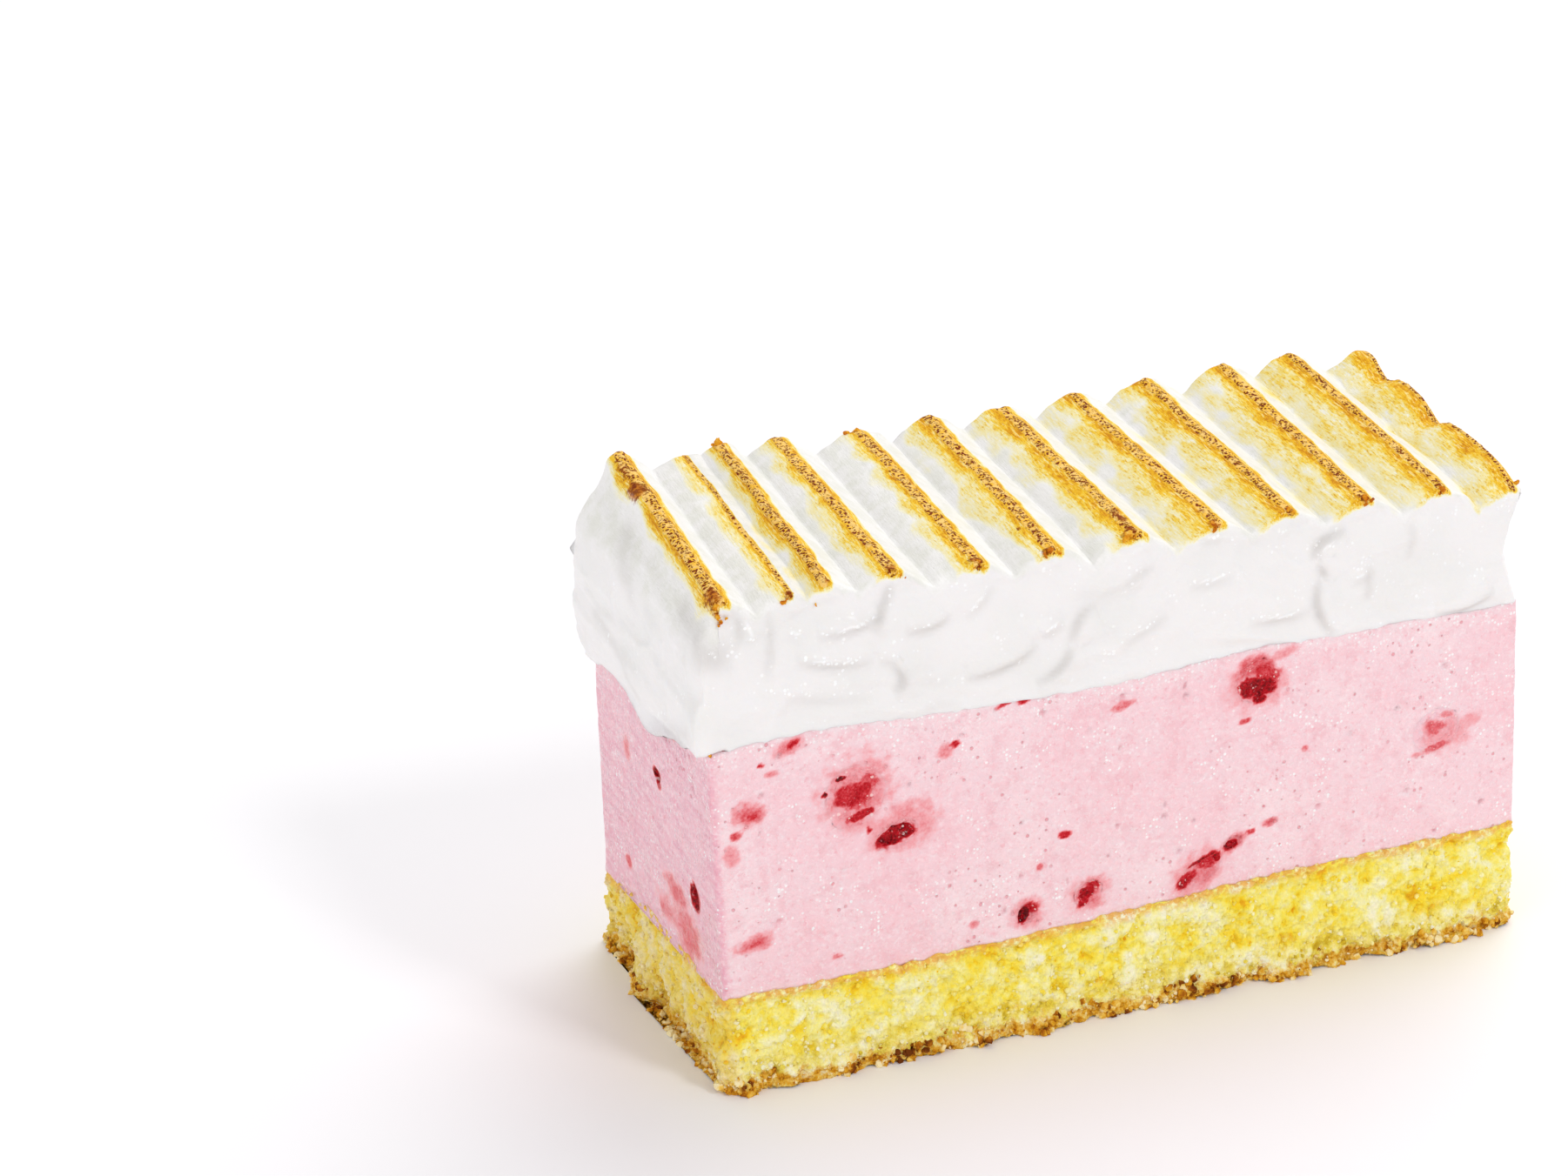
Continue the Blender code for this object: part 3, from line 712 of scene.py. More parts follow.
def skirt_inner_edge(t):
    y = mix(-WIDTH / 2, WIDTH / 2, t)
    z = mix(SKIRT_FRONT_Z, SKIRT_MIDDLE_Z, smooth_step(0.0, 0.4, t))
    z += (SKIRT_BACK_Z - SKIRT_MIDDLE_Z) * smooth_step(0.7, 1.0, t)
    z -= TONGUE_LENGTH * hump(y, TONGUE_Y, TONGUE_WIDTH)
    z += 0.35 * MM * wander(0.0, y, 0.0, even_size(2.6), 31.0)
    return mousse_end_x(t, z) + 0.1 * MM, z


def skirt_outer_edge(t):
    x, z = skirt_inner_edge(t)
    return x - SKIRT_THICKNESS - 0.5 * MM, z + SKIRT_THICKNESS * 0.8


def meringue_underside(i, nx, t):
    if i == 0:
        return skirt_outer_edge(t)
    if i == 1:
        return skirt_inner_edge(t)
    inner_x = mousse_end_x(t, MOUSSE_TOP + MM) + 0.1 * MM
    right_x = LENGTH / 2 + lean(MOUSSE_TOP)
    x = mix(inner_x, right_x, (i - 2) / (nx - 2))
    return x, cream_seam(x - lean(MOUSSE_TOP), mix(-WIDTH / 2, WIDTH / 2, t)) - SEAM_TUCK


def left_face_x(t, z):
    foot_x, foot_z = skirt_outer_edge(t)
    edge_x = mix(SHOULDER_X_FRONT, SHOULDER_X_BACK, t)
    return mix(foot_x, edge_x, smooth_step(foot_z - 2.0 * MM, SKIRT_TOP_Z, z))


def bezier(start, over, end, f):
    return (mix(mix(start[n], over[n], f), mix(over[n], end[n], f), f) * MM for n in (0, 1))


STROKE_REACH = 3.6 * MM
STROKE_STEPS = 24


def stroke_tables():
    """Each knife stroke as its height, its glint, its bounds, and places with ways and fading ends."""
    tables = []
    for start, over, end, height, shine in STROKES_MM:
        line = [Vector(bezier(start, over, end, step / STROKE_STEPS)) for step in range(STROKE_STEPS + 1)]
        points = []
        for number, spot in enumerate(line):
            way = (line[min(number + 1, STROKE_STEPS)] - line[max(number - 1, 0)]).normalized()
            points.append((*spot, *way, math.sin(math.pi * number / STROKE_STEPS) ** 0.6))
        box = []
        for values in zip(*line):
            box += [min(values) - STROKE_REACH, max(values) + STROKE_REACH]
        tables.append((height * MM, shine, box, points))
    return tables


STROKES = stroke_tables()


def strokes_beside(x, z):
    """The strokes near a place: height and glint there, and distance, above 0 on the left of the line."""
    for height, shine, box, points in STROKES:
        if box[0] < x < box[1] and box[2] < z < box[3]:
            found = min(((x - p[0]) ** 2 + (z - p[1]) ** 2, *p) for p in points)
            far, px, pz, way_x, way_z, fade = found
            on_left = way_x * (z - pz) - way_z * (x - px) >= 0.0
            yield height * fade, shine * fade, math.copysign(math.sqrt(far), 1.0 if on_left else -1.0)


def stroke_relief(x, z):
    """The knife's ledges: a soft rise on the left of each line, and a sharp step down on its right."""
    relief = 0.0
    for height, _, away in strokes_beside(x, z):
        relief += 1.4 * height * hump(away, 0.0, 1.9 * MM if away > 0.0 else 0.4 * MM)
    return relief


def stroke_shine(point):
    """1 on the edges of the knife's strokes, where a painted glint lies."""
    if point.y > -WIDTH / 2 + FACE_REACH:
        return 0.0
    near = strokes_beside(point.x, point.z)
    return max((shine * hump(away, 0.25 * MM, 0.5 * MM) for _, shine, away in near), default=0.0)


def streak_shade(point):
    """Painted shade in streaks on the left face: 1 in their middle."""
    shade = 0.0
    for (ay, az), (by, bz), half_width, strength in SHADE_STREAKS_MM:
        along = Vector((by - ay, bz - az))
        from_start = Vector((point.y / MM - ay, point.z / MM - az))
        f = min(max(from_start.dot(along) / along.dot(along), 0.0), 1.0)
        shade = max(shade, strength * hump((from_start - along * f).length, 0.0, half_width))
    return shade


def shade_level(point):
    """Painted shade in the hollows beside the knife's strokes and in the streaks on the left face."""
    shade = streak_shade(point) * smooth_step(-48.5 * MM, -51.5 * MM, point.x)
    if point.y < -WIDTH / 2 + FACE_REACH:
        for height, _, away in strokes_beside(point.x, point.z):
            shade += height / (0.5 * MM) * hump(away, -0.45 * MM, 0.65 * MM)
    return shade


def smears(x, y, z):
    """The spreading marks on all the meringue's sides."""
    bent = x + y + 2.0 * MM * wander(x, y, z, even_size(9.0), 2.2)
    slanted = z + 3.0 * MM * wander(x, y, z, even_size(15.0), 5.2)
    long_marks = wander(bent, 0.0, slanted, Vector((13.0, 1.0, 2.8)) * MM, 9.4)
    soft_lumps = wander(x, y, z, even_size(7.0), 13.7)
    small = wander(bent, 0.0, slanted, Vector((4.0, 1.0, 1.3)) * MM, 17.9)
    crease = max(0.0, 1.0 - 6.0 * abs(wander(bent, 0.0, slanted, Vector((9.0, 1.0, 4.5)) * MM, 37.0)))
    return (0.5 * long_marks + 0.45 * soft_lumps + 0.18 * small + 0.2 * crease) * MM


FRONT_TIPS = crest_lines(0.0)


def tip_humps(x, z):
    """The small soft humps of meringue under the ridges' front ends."""
    out = 0.0
    for index, (tip_x, tip_z) in enumerate(FRONT_TIPS):
        if abs(x - tip_x) < 3.5 * MM:
            height = (0.45 + 0.25 * wander(index * 3.3 * MM, 0.0, 0.0, even_size(1.0), 19.0)) * MM
            out += height * hump(x, tip_x + 0.3 * MM, 1.2 * MM) * hump(z, tip_z - 1.2 * MM, 0.9 * MM)
    return out


def rounded_edge(distance, radius):
    """Where a point lies that is distance from a sharp edge, once the edge is round: along and in."""
    if distance >= radius:
        return distance, 0.0
    turn = math.pi / 4 * (1.0 - distance / radius)
    return radius * (1.0 - math.sin(turn)), radius * (1.0 - math.cos(turn))


def edge_radius(x, z, t, end_share):
    """How round the meringue's edge is: crisp along the comb, softer where it turns down the ends."""
    crisp = (0.55 + 0.3 * wander(x, t, 0.0, even_size(2.4), 6.1)) * MM
    corner = FRONT_CORNER if t < 0.5 else BACK_CORNER
    soft = mix(0.3 * MM, corner, smooth_step(MOUSSE_TOP, SHOULDER_Z, z))
    return mix(crisp, soft, end_share)


def near_crest(i, crests):
    """1 on a crest, fading out beside it."""
    step = i - LEFT_STEPS
    if not 0 <= step <= (len(crests) - 1) * RIDGE_STEPS:
        return 0.0
    s = step % RIDGE_STEPS / RIDGE_STEPS
    return hump(min(s, 1.0 - s) * RIDGE_SPACING_MM * MM, 0.0, 0.9 * MM)


def nearest_on_line(x, z, line, tree):
    """The nearest point of a line of X and Z points, with its number and distance."""
    _, number, _ = tree.find((x, z, 0.0))
    best = None
    for start in (number - 1, number):
        if 0 <= start < len(line) - 1:
            (ax, az), (bx, bz) = line[start], line[start + 1]
            dx, dz = bx - ax, bz - az
            f = ((x - ax) * dx + (z - az) * dz) / (dx * dx + dz * dz)
            f = min(max(f, 0.0), 1.0)
            px, pz = ax + f * dx, az + f * dz
            away = math.hypot(x - px, z - pz)
            if best is None or away < best[3]:
                best = (px, pz, number, away)
    return best


def meringue_place(counts):
    nx, ny, nz = counts
    crests = [crest_lines(t) for t in ACROSS_ROWS]
    rim_keys = [(0, k) for k in range(nz)] + [(i, nz) for i in range(nx + 1)]
    rim_keys += [(nx, k) for k in range(nz - 1, -1, -1)]
    rim_number = {key: number for number, key in enumerate(rim_keys)}

    def end_shares(i, high_x):
        left = max(1.0 - i / LEFT_STEPS, 0.0)
        return left, smooth_step(RIGHT_EDGE_X - 8.0 * MM, RIGHT_EDGE_X, high_x)

    def flat_point(i, j, k):
        """X and Z of a point while the edges are still sharp."""
        t, up = ACROSS_ROWS[j], UP_LEVELS[k]
        y = mix(-WIDTH / 2, WIDTH / 2, t)
        low = meringue_underside(i, nx, t)
        high = meringue_top(i, t, crests[j])
        x = mix(low[0], high[0], up)
        z = mix(low[1], high[1], up)
        left_share, right_share = end_shares(i, high[0])
        below = high[1] - z
        if left_share > 0.0:
            in_limit = mix(0.1 * MM, 2.0 * MM, smooth_step(SKIRT_FRONT_Z, SKIRT_TOP_Z + 2.0 * MM, z))
            out = max(smears(x, y, z), -in_limit) * smooth_step(0.0, 0.2, up)
            flat_x = mix(skirt_outer_edge(t)[0], mix(SHOULDER_X_FRONT, SHOULDER_X_BACK, t), up)
            x += (left_face_x(t, z) - out - flat_x) * left_share
        if right_share > 0.0:
            out = (smears(x, y, z) - RIGHT_PINCH) * math.sin(math.pi * up)
            x += (out - SEAM_TUCK * (1.0 - smooth_step(0.0, 0.8 * MM, z - low[1]))) * right_share
        if k == nz:
            z += 0.1 * MM * wander(x, y, 0.0, Vector((1.6, 9.0, 1.0)) * MM, 27.0)
            z += 0.05 * MM * wander(x, y, 0.0, Vector((0.7, 5.0, 1.0)) * MM, 29.0)
            z += near_crest(i, crests[j]) * 0.22 * MM * wander(x, y, 0.0, even_size(0.8), 39.0)
        from_edge = math.hypot(below, WIDTH * min(t, 1.0 - t))
        wall_y = math.copysign(WIDTH / 2, t - 0.5)
        z += math.exp(-from_edge / (1.6 * MM)) * 0.55 * MM * wander(x, wall_y, 0.0, even_size(1.9), 8.8)
        return x, z

    def rim(j):
        """The row's edge, up the left face, over the comb and down the right end: places and radii."""
        line = [flat_point(i, j, k) for i, k in rim_keys]
        t = ACROSS_ROWS[j]
        radii = []
        for (i, _), (x, z) in zip(rim_keys, line):
            radii.append(edge_radius(x, z, t, max(end_shares(i, x))))
        return line, radii

    rims = [rim(j) for j in range(ny + 1)]
    trees = {}
    for j in (0, ny):
        line = rims[j][0]
        trees[j] = kdtree.KDTree(len(line))
        for number, (x, z) in enumerate(line):
            trees[j].insert((x, z, 0.0), number)
        trees[j].balance()

    def rim_place(j, number):
        """A point of the rim, moved in where the row is close to the front or the back."""
        line, radii = rims[j]
        t = ACROSS_ROWS[j]
        x, z = line[number]
        away, inward = rounded_edge(WIDTH * min(t, 1.0 - t), radii[number])
        before, after = line[max(number - 1, 0)], line[min(number + 1, len(line) - 1)]
        dx, dz = after[0] - before[0], after[1] - before[1]
        length = math.hypot(dx, dz)
        return x + dz / length * inward, math.copysign(WIDTH / 2 - away, t - 0.5), z - dx / length * inward

    def place(i, j, k):
        if (i, k) in rim_number:
            return rim_place(j, rim_number[i, k])
        x, z = flat_point(i, j, k)
        line, radii = rims[j]
        px, pz, number, away = nearest_on_line(x, z, line, trees[j])
        quiet = smooth_step(0.0, 0.12, UP_LEVELS[k]) * smooth_step(0.0, 1.6 * MM, away)
        side = -1.0 if j == 0 else 1.0
        out = smears(x, side * WIDTH / 2, z) * quiet
        if j == 0:
            out += (stroke_relief(x, z) + tip_humps(x, z)) * quiet
        low_z = meringue_underside(i, nx, ACROSS_ROWS[j])[1]
        out -= SEAM_TUCK * (1.0 - smooth_step(0.0, 0.8 * MM, z - low_z))
        along, inward = rounded_edge(away, radii[number])
        if along != away:
            x += (x - px) / away * (along - away)
            z += (z - pz) / away * (along - away)
        return x, side * (WIDTH / 2 + out - inward), z

    return place


def smooth_corner(mesh):
    """Evens out the front left corner, where the marks of two sides meet."""
    bm = bmesh.new()
    bm.from_mesh(mesh)
    low, high = SMOOTH_CORNER
    corner = [v for v in bm.verts if all(a < c < b for a, b, c in zip(low, high, v.co))]
    for _ in range(12):
        bmesh.ops.smooth_vert(
            bm, verts=corner, factor=0.5, use_axis_x=True, use_axis_y=True, use_axis_z=True
        )
    bm.to_mesh(mesh)
    bm.free()


CREST_ROWS = 200
CREST_TABLE = [crest_lines(step / CREST_ROWS) for step in range(CREST_ROWS + 1)]
COMB_STEP_MM = 10.0  # how wide a ridge counts in the material's own places


def crests_at(y):
    """X and height of every crest, y along it."""
    t = min(max(y / WIDTH + 0.5, 0.0), 1.0)
    return CREST_TABLE[round(t * CREST_ROWS)]


def between_crests(crests, x):
    """The crest on the left of x, and how far x is on the way to the next one."""
    at = max(n for n in range(len(crests)) if crests[n][0] <= x)
    return at, (x - crests[at][0]) / (crests[at + 1][0] - crests[at][0])


def crests_beside(point):
    """The crests left and right of a point: each a number and its distance, or None past the ends."""
    crests = crests_at(point.y)
    after = sum(1 for x, _ in crests if x <= point.x)

    def beside(index):
        if not 0 <= index < len(crests):
            return None
        x, z = crests[index]
        return index, math.hypot(point.x - x, 0.7 * (z - point.z))

    return beside(after - 1), beside(after)


def top_share(point):
    """1 on the combed top, fading to 0 down the front, the back and the right end."""
    crests = crests_at(point.y)
    if point.x <= crests[0][0]:
        return smooth_step(SHOULDER_Z + 3.0 * MM, SHOULDER_Z + 6.0 * MM, point.z)
    if point.x >= crests[-1][0]:
        surface = crests[-1][1]
    else:
        surface = combed_point(crests, *between_crests(crests, point.x))[1]
    ragged = 0.5 * MM * wander(point.x, point.y, 0.0, even_size(1.2), 51.0)
    return 1.0 - smooth_step(0.35 * MM, 1.1 * MM, surface - point.z + ragged)


def toast_level(point):
    """Browning: gold beside a crest, then pale yellow far down its left flank; a sharp edge on its right."""
    left, right = crests_beside(point)
    level = 0.0
    if left is not None:
        uneven = wander(0.0, point.y, 0.0, even_size(3.0), 61.0 + left[0])
        reach = TOAST_MM[left[0]][2] * (1.0 + 0.3 * uneven)
        level = 0.8 * (1.0 - smooth_step(reach * 0.72 * MM, reach * 1.12 * MM, left[1]))
    if right is not None:
        gold, pale = TOAST_MM[right[0]][:2]
        vary = 1.0 + 0.5 * wander(point.x, point.y, 0.0, Vector((4.0, 7.0, 1.0)) * MM, 41.0 + right[0])
        uneven = 0.5 * wander(point.x, point.y, 0.0, Vector((1.5, 3.5, 1.0)) * MM, 47.0 + right[0])
        near = 1.0 - smooth_step(gold * 0.5 * vary * MM, gold * 1.3 * vary * MM, right[1])
        vary += uneven
        far = 1.0 - smooth_step(pale * 0.35 * vary * MM, pale * 1.2 * vary * MM, right[1])
        level = max(level, 0.42 * near + 0.4 * far)
    return level * top_share(point)


def crest_level(point):
    """The speckled strip along a crest."""
    beside = [crest for crest in crests_beside(point) if crest is not None]
    index, away = min(beside, key=lambda crest: crest[1])
    uneven = wander(0.0, point.y, 0.0, even_size(2.5), 71.0 + index)
    width = TOAST_MM[index][3] * (1.0 + 0.35 * uneven) * MM
    return (1.0 - smooth_step(width * 0.6, width * 1.4, away)) * top_share(point)


def burnt_level(point):
    """The darker places along the crests and at their ends."""
    level = 0.0
    for x, y, half_width, half_length, strength in BURNT_MM:
        across = (point.x - x * MM) / (half_width * MM)
        along = (point.y - y * MM) / (half_length * MM)
        if abs(across) < 2.5 and abs(along) < 2.5:
            level = max(level, strength * math.exp(-(across**2) - along**2))
    if level < 0.01:
        return 0.0
    away = min(crest[1] for crest in crests_beside(point) if crest is not None)
    level *= smooth_step(2.3 * MM, 1.3 * MM, away)
    return level * top_share(point) * smooth_step(58.8 * MM, 60.4 * MM, point.z)


def comb_place(point):
    """A place counted in ridges across and in metres along them, so that streaks follow the ridges."""
    crests = crests_at(point.y)
    if point.x < crests[0][0]:
        across = point.x - crests[0][0]
    elif point.x >= crests[-1][0]:
        across = (len(crests) - 1) * COMB_STEP_MM * MM + point.x - crests[-1][0]
    else:
        at, s = between_crests(crests, point.x)
        across = (at + s) * COMB_STEP_MM * MM
    return across, point.y, point.z


# Fruit


def fruit_piece(number, wall, piece, material):
    """A piece of fruit that the knife cut through: bubbly flesh, a little behind the mousse's face."""
    along, height, width, tall, tilt, deep = piece
    bm = bmesh.new()
    bmesh.ops.create_icosphere(bm, subdivisions=6 if width > 5.0 else 5, radius=1.0)
    turn = Matrix.Rotation(-math.radians(tilt), 3, "Y")
    start = Vector((number * 3.3, 0.0, 0.0))
    for vert in bm.verts:
        way = vert.co.normalized()
        bump = 1.0 + 0.12 * noise.noise(way * 1.8 + start) + 0.05 * noise.noise(way * 6.0 + start)
        spot = Vector((way.x * width / 2, way.y * width / 2, way.z * tall / 2)) * bump * MM
        grain = 0.2 * noise.noise(spot / (0.8 * MM) + start) + 0.14 * noise.noise(spot / (0.35 * MM) - start)
        near = 1.0 - math.hypot(way.x, way.z) * bump
        front = 0.06 + deep * smooth_step(0.0, 0.5, near) + grain * smooth_step(0.0, 0.3, near)
        spot.y = max(spot.y, front * MM)
        vert.co = turn @ spot
    mesh = bpy.data.meshes.new(f"berry_{number}")
    bm.to_mesh(mesh)
    bm.free()
    shade_smooth(mesh)
    z = height * MM
    if wall == "front":
        spot = Matrix.Translation((along * MM, -WIDTH / 2, z))
    else:
        x = mousse_end_x(along * MM / WIDTH + 0.5, z)
        spot = Matrix.Translation((x, along * MM, z)) @ Matrix.Rotation(-math.pi / 2, 4, "Z")
    mesh.transform(spot)
    paint(mesh, "juice", redness)
    mesh.materials.append(material)
    return add_object(mesh.name, mesh)


# Node trees


def tint(red, green, blue):
    """A colour as it looks on a screen, from 0 to 255, made linear."""
    def linear(value):
        share = value / 255
        return share / 12.92 if share <= 0.04045 else ((share + 0.055) / 1.055) ** 2.4
    return (linear(red), linear(green), linear(blue), 1.0)


def node(tree, kind, sockets=None, **settings):
    """Adds a node. Each socket gets a value, or a link where an output is given."""
    made = tree.nodes.new(kind)
    for name, value in settings.items():
        setattr(made, name, value)
    for key, value in (sockets or {}).items():
        set_socket(tree, made.inputs[key], value)
    return made


def set_socket(tree, socket, value):
    if isinstance(value, bpy.types.NodeSocket):
        tree.links.new(value, socket)
    else:
        socket.default_value = value


def calc(tree, operation, first, second):
    return node(tree, "ShaderNodeMath", {0: first, 1: second}, operation=operation).outputs[0]


def plus(tree, first, second):
    return calc(tree, "ADD", first, second)


def minus(tree, first, second):
    return calc(tree, "SUBTRACT", first, second)


def times(tree, first, second):
    return calc(tree, "MULTIPLY", first, second)


def larger(tree, first, second):
    return calc(tree, "MAXIMUM", first, second)


def span(tree, value, low, high, bottom=0.0, top=1.0):
    """value moved smoothly from low..high to bottom..top, and held there outside."""
    sockets = {"Value": value, "From Min": low, "From Max": high, "To Min": bottom, "To Max": top}
    return node(tree, "ShaderNodeMapRange", sockets, interpolation_type="SMOOTHSTEP").outputs[0]


def together(tree, *parts):
    """The sum of noises, each taken about its middle and with its weight."""
    total = 0.0
    for value, weight in parts:
        total = plus(tree, total, times(tree, minus(tree, value, 0.5), weight))
    return total


def frayed(tree, level, grain, amount):
    """A level with the grain added to it, so that its edge is uneven."""
    return plus(tree, level, times(tree, minus(tree, grain, 0.5), amount))


def blended(tree, factor, first, second):
    """One colour mixed into another: each an output, or red, green and blue from 0 to 255."""
    first, second = (tint(*colour) if isinstance(colour, tuple) else colour for colour in (first, second))
    made = node(tree, "ShaderNodeMix", {0: factor, 6: first, 7: second}, data_type="RGBA")
    return made.outputs[2]


def laid(tree, colour, where, share, over):
    """A colour with another laid over it at that share, in the places where where is 1."""
    return blended(tree, times(tree, where, share), colour, over)


def ramp(tree, factor, stops):
    """Colours along a level. Each stop is its place, and red, green and blue from 0 to 255."""
    made = node(tree, "ShaderNodeValToRGB", {0: factor})
    elements = made.color_ramp.elements
    while len(elements) < len(stops):
        elements.new(0.5)
    for element, (position, *colour) in zip(elements, stops):
        element.position = position
        element.color = tint(*colour)
    return made.outputs[0]


def cloud(tree, where, size_mm, detail=2.0, roughness=0.5):
    """Noise with features of about that size."""
    sockets = {"Vector": where, "Scale": 1 / (size_mm * MM), "Detail": detail, "Roughness": roughness}
    return node(tree, "ShaderNodeTexNoise", sockets).outputs[0]


def cells(tree, where, size_mm):
    """Distance from the middles of scattered cells of about that size, over the size."""
    return node(tree, "ShaderNodeTexVoronoi", {"Vector": where, "Scale": 1 / (size_mm * MM)}).outputs[0]


def chance_dots(tree, where, scale, share, radius, rim):
    """Round dots in some of the cells; share is the part of the cells without one."""
    voronoi = node(tree, "ShaderNodeTexVoronoi", {"Vector": where, "Scale": scale})
    chance = node(tree, "ShaderNodeSeparateXYZ", {0: voronoi.outputs["Color"]}).outputs[0]
    reach = span(tree, chance, share, 1.0, 0.0, radius)
    return span(tree, minus(tree, voronoi.outputs["Distance"], reach), 0.0, -rim)


def scattered_dots(tree, where, spacing_mm, share, radius):
    return chance_dots(tree, where, 1 / (spacing_mm * MM), share, radius, 0.1)


def painted(tree, name, output="Fac"):
    return node(tree, "ShaderNodeAttribute", attribute_name=name).outputs[output]


def stretched(tree, where, **settings):
    sockets = {"Vector": where}
    sockets.update(settings)
    return node(tree, "ShaderNodeMapping", sockets).outputs[0]


def object_place(tree):
    return node(tree, "ShaderNodeTexCoord").outputs["Object"]


def new_material(name):
    material = bpy.data.materials.new(name)
    material.use_nodes = True
    tree = material.node_tree
    return material, tree, tree.nodes["Principled BSDF"]


def finish_shader(tree, shader, **values):
    """Sets or links the shader's sockets. An underscore in a name stands for a space."""
    for name, value in values.items():
        set_socket(tree, shader.inputs[name.replace("_", " ")], value)


def bumped(tree, height, distance_mm, strength=1.0, under=None):
    sockets = {"Height": height, "Distance": distance_mm * MM, "Strength": strength}
    if under is not None:
        sockets["Normal"] = under
    return node(tree, "ShaderNodeBump", sockets).outputs[0]


def soften(tree, shader, weight, radius, scale_mm):
    """Light that goes a little way in and comes out again."""
    depth = scale_mm * MM
    finish_shader(tree, shader, Subsurface_Weight=weight, Subsurface_Radius=radius, Subsurface_Scale=depth)


def cream_white(tree, place, on_top, patches):
    """The meringue's plain white, with painted shade in its hollows and painted glints."""
    side_tone = span(tree, cloud(tree, place, 9.0, 1.0), 0.4, 0.7)
    side_white = blended(tree, side_tone, (242, 239, 238), (238, 236, 234))
    top_white = blended(tree, span(tree, patches, 0.4, 0.65), (247, 245, 243), (238, 237, 230))
    white = blended(tree, on_top, side_white, top_white)
    # Painted shade beside the knife's strokes and in the left face's streaks
    white = laid(tree, white, painted(tree, "shade"), 0.9, (215, 211, 208))
    # Painted glints: white dots along the strokes' edges and in patches on the sides, and a bright line on
    # the strongest edges
    shine = painted(tree, "shine")
    on_sides = span(tree, on_top, 0.3, 0.0, 0.0, 0.7)
    glint_places = times(tree, span(tree, cloud(tree, place, 3.2, 2.0), 0.56, 0.66), on_sides)
    glinting = larger(tree, span(tree, shine, 0.1, 0.5), glint_places)
    glints = times(tree, scattered_dots(tree, place, 0.5, 0.2, 0.5), glinting)
    glints = larger(tree, glints, span(tree, shine, 0.6, 0.95, 0.0, 0.7))
    return blended(tree, glints, white, (254, 254, 254))


def meringue_look():
    """White meringue, browned along the comb's crests from pale yellow to speckled brown."""
    material, tree, shader = new_material("toasted_meringue")
    place = object_place(tree)
    on_top = painted(tree, "top")
    along_comb = stretched(tree, painted(tree, "comb", "Vector"), Scale=(1.0, 0.16, 1.0))
    fibres = cloud(tree, along_comb, 0.3, 3.0, 0.65)
    hairs = cloud(tree, along_comb, 0.14, 2.0, 0.6)
    blotches = cloud(tree, along_comb, 1.2, 4.0, 0.7)
    patches = cloud(tree, place, 2.6, 3.0, 0.6)
    grit = cloud(tree, place, 0.4, 3.0, 0.7)
    toast = painted(tree, "toast")
    uneven = together(tree, (fibres, 0.9), (hairs, 0.6), (blotches, 0.9), (patches, 0.5), (grit, 0.6))
    level = plus(tree, toast, times(tree, uneven, span(tree, toast, 0.02, 0.5, 0.0, 0.9)))
    white = cream_white(tree, place, on_top, patches)
    stops = (
        (0.0, 248, 246, 236),
        (0.16, 248, 242, 212),
        (0.34, 247, 232, 164),
        (0.52, 247, 216, 96),
        (0.7, 246, 198, 46),
        (0.86, 236, 174, 28),
        (1.0, 212, 138, 20),
    )
    browned = ramp(tree, level, stops)
    dark_hairs = times(tree, span(tree, hairs, 0.54, 0.68), span(tree, level, 0.3, 0.6, 0.0, 0.65))
    browned = blended(tree, dark_hairs, browned, (206, 140, 30))
    pale_hairs = times(tree, span(tree, fibres, 0.47, 0.34), span(tree, level, 0.2, 0.5, 0.0, 0.6))
    browned = blended(tree, pale_hairs, browned, (252, 238, 178))
    colour = blended(tree, span(tree, level, 0.04, 0.22), white, browned)
    crest = painted(tree, "crest")
    grain = cloud(tree, place, 0.8, 3.0, 0.7)
    dots = span(tree, cells(tree, place, 0.4), 0.48, 0.4)
    small_dots = span(tree, cells(tree, place, 0.24), 0.44, 0.34)
    specks = times(tree, dots, span(tree, grain, 0.42, 0.5))
    fine_specks = times(tree, small_dots, span(tree, cloud(tree, place, 1.3, 2.0), 0.48, 0.56))
    specks = larger(tree, specks, fine_specks)
    crust = blended(tree, span(tree, grain, 0.38, 0.62), (254, 210, 122), (248, 190, 52))
    crust = laid(tree, crust, specks, 0.97, (122, 26, 0))
    colour = blended(tree, span(tree, frayed(tree, crest, grain, 1.2), 0.4, 0.7), colour, crust)
    burnt = frayed(tree, painted(tree, "burnt"), grain, 1.5)
    dark = blended(tree, span(tree, grain, 0.38, 0.62), (210, 124, 12), (130, 48, 0))
    colour = laid(tree, colour, span(tree, burnt, 0.3, 0.8), 0.95, dark)
    lines = times(tree, plus(tree, fibres, times(tree, hairs, 0.5)), on_top)
    streaks = bumped(tree, lines, 0.12, 0.8)
    smooth = bumped(tree, cloud(tree, place, 1.6, 4.0, 0.6), 0.3, 0.6, streaks)
    crumbled = bumped(tree, times(tree, grain, crest), 0.28, 0.7, smooth)
    normal = bumped(tree, times(tree, specks, crest), -0.07, 1.0, crumbled)
    rough = span(tree, level, 0.1, 0.6, 0.33, 0.62)
    soften(tree, shader, 0.25, (1.0, 0.85, 0.7), 1.0)
    depth = span(tree, on_top, 0.1, 0.5, 0.3, 0.0)
    dull = span(tree, level, 0.1, 0.5, 0.5, 0.1)
    finish_shader(tree, shader, Base_Color=colour, Roughness=rough, Normal=normal)
    finish_shader(tree, shader, Subsurface_Weight=depth, Specular_IOR_Level=dull)
    return material


def fleck_look():
    """Browned bits of meringue, from gold to dark brown."""
    material, tree, shader = new_material("toasted_flecks")
    place = object_place(tree)
    grain = cloud(tree, place, 0.5, 3.0, 0.7)
    wide = cloud(tree, place, 2.2, 1.0)
    tone = plus(tree, times(tree, grain, 0.6), times(tree, wide, 0.5))
    stops = ((0.3, 246, 206, 104), (0.48, 234, 168, 36), (0.62, 204, 114, 8), (0.78, 136, 52, 0))
    finish_shader(tree, shader, Base_Color=ramp(tree, tone, stops), Normal=bumped(tree, grain, 0.12, 0.6))
    finish_shader(tree, shader, Roughness=0.55, Specular_IOR_Level=0.12)
    return material


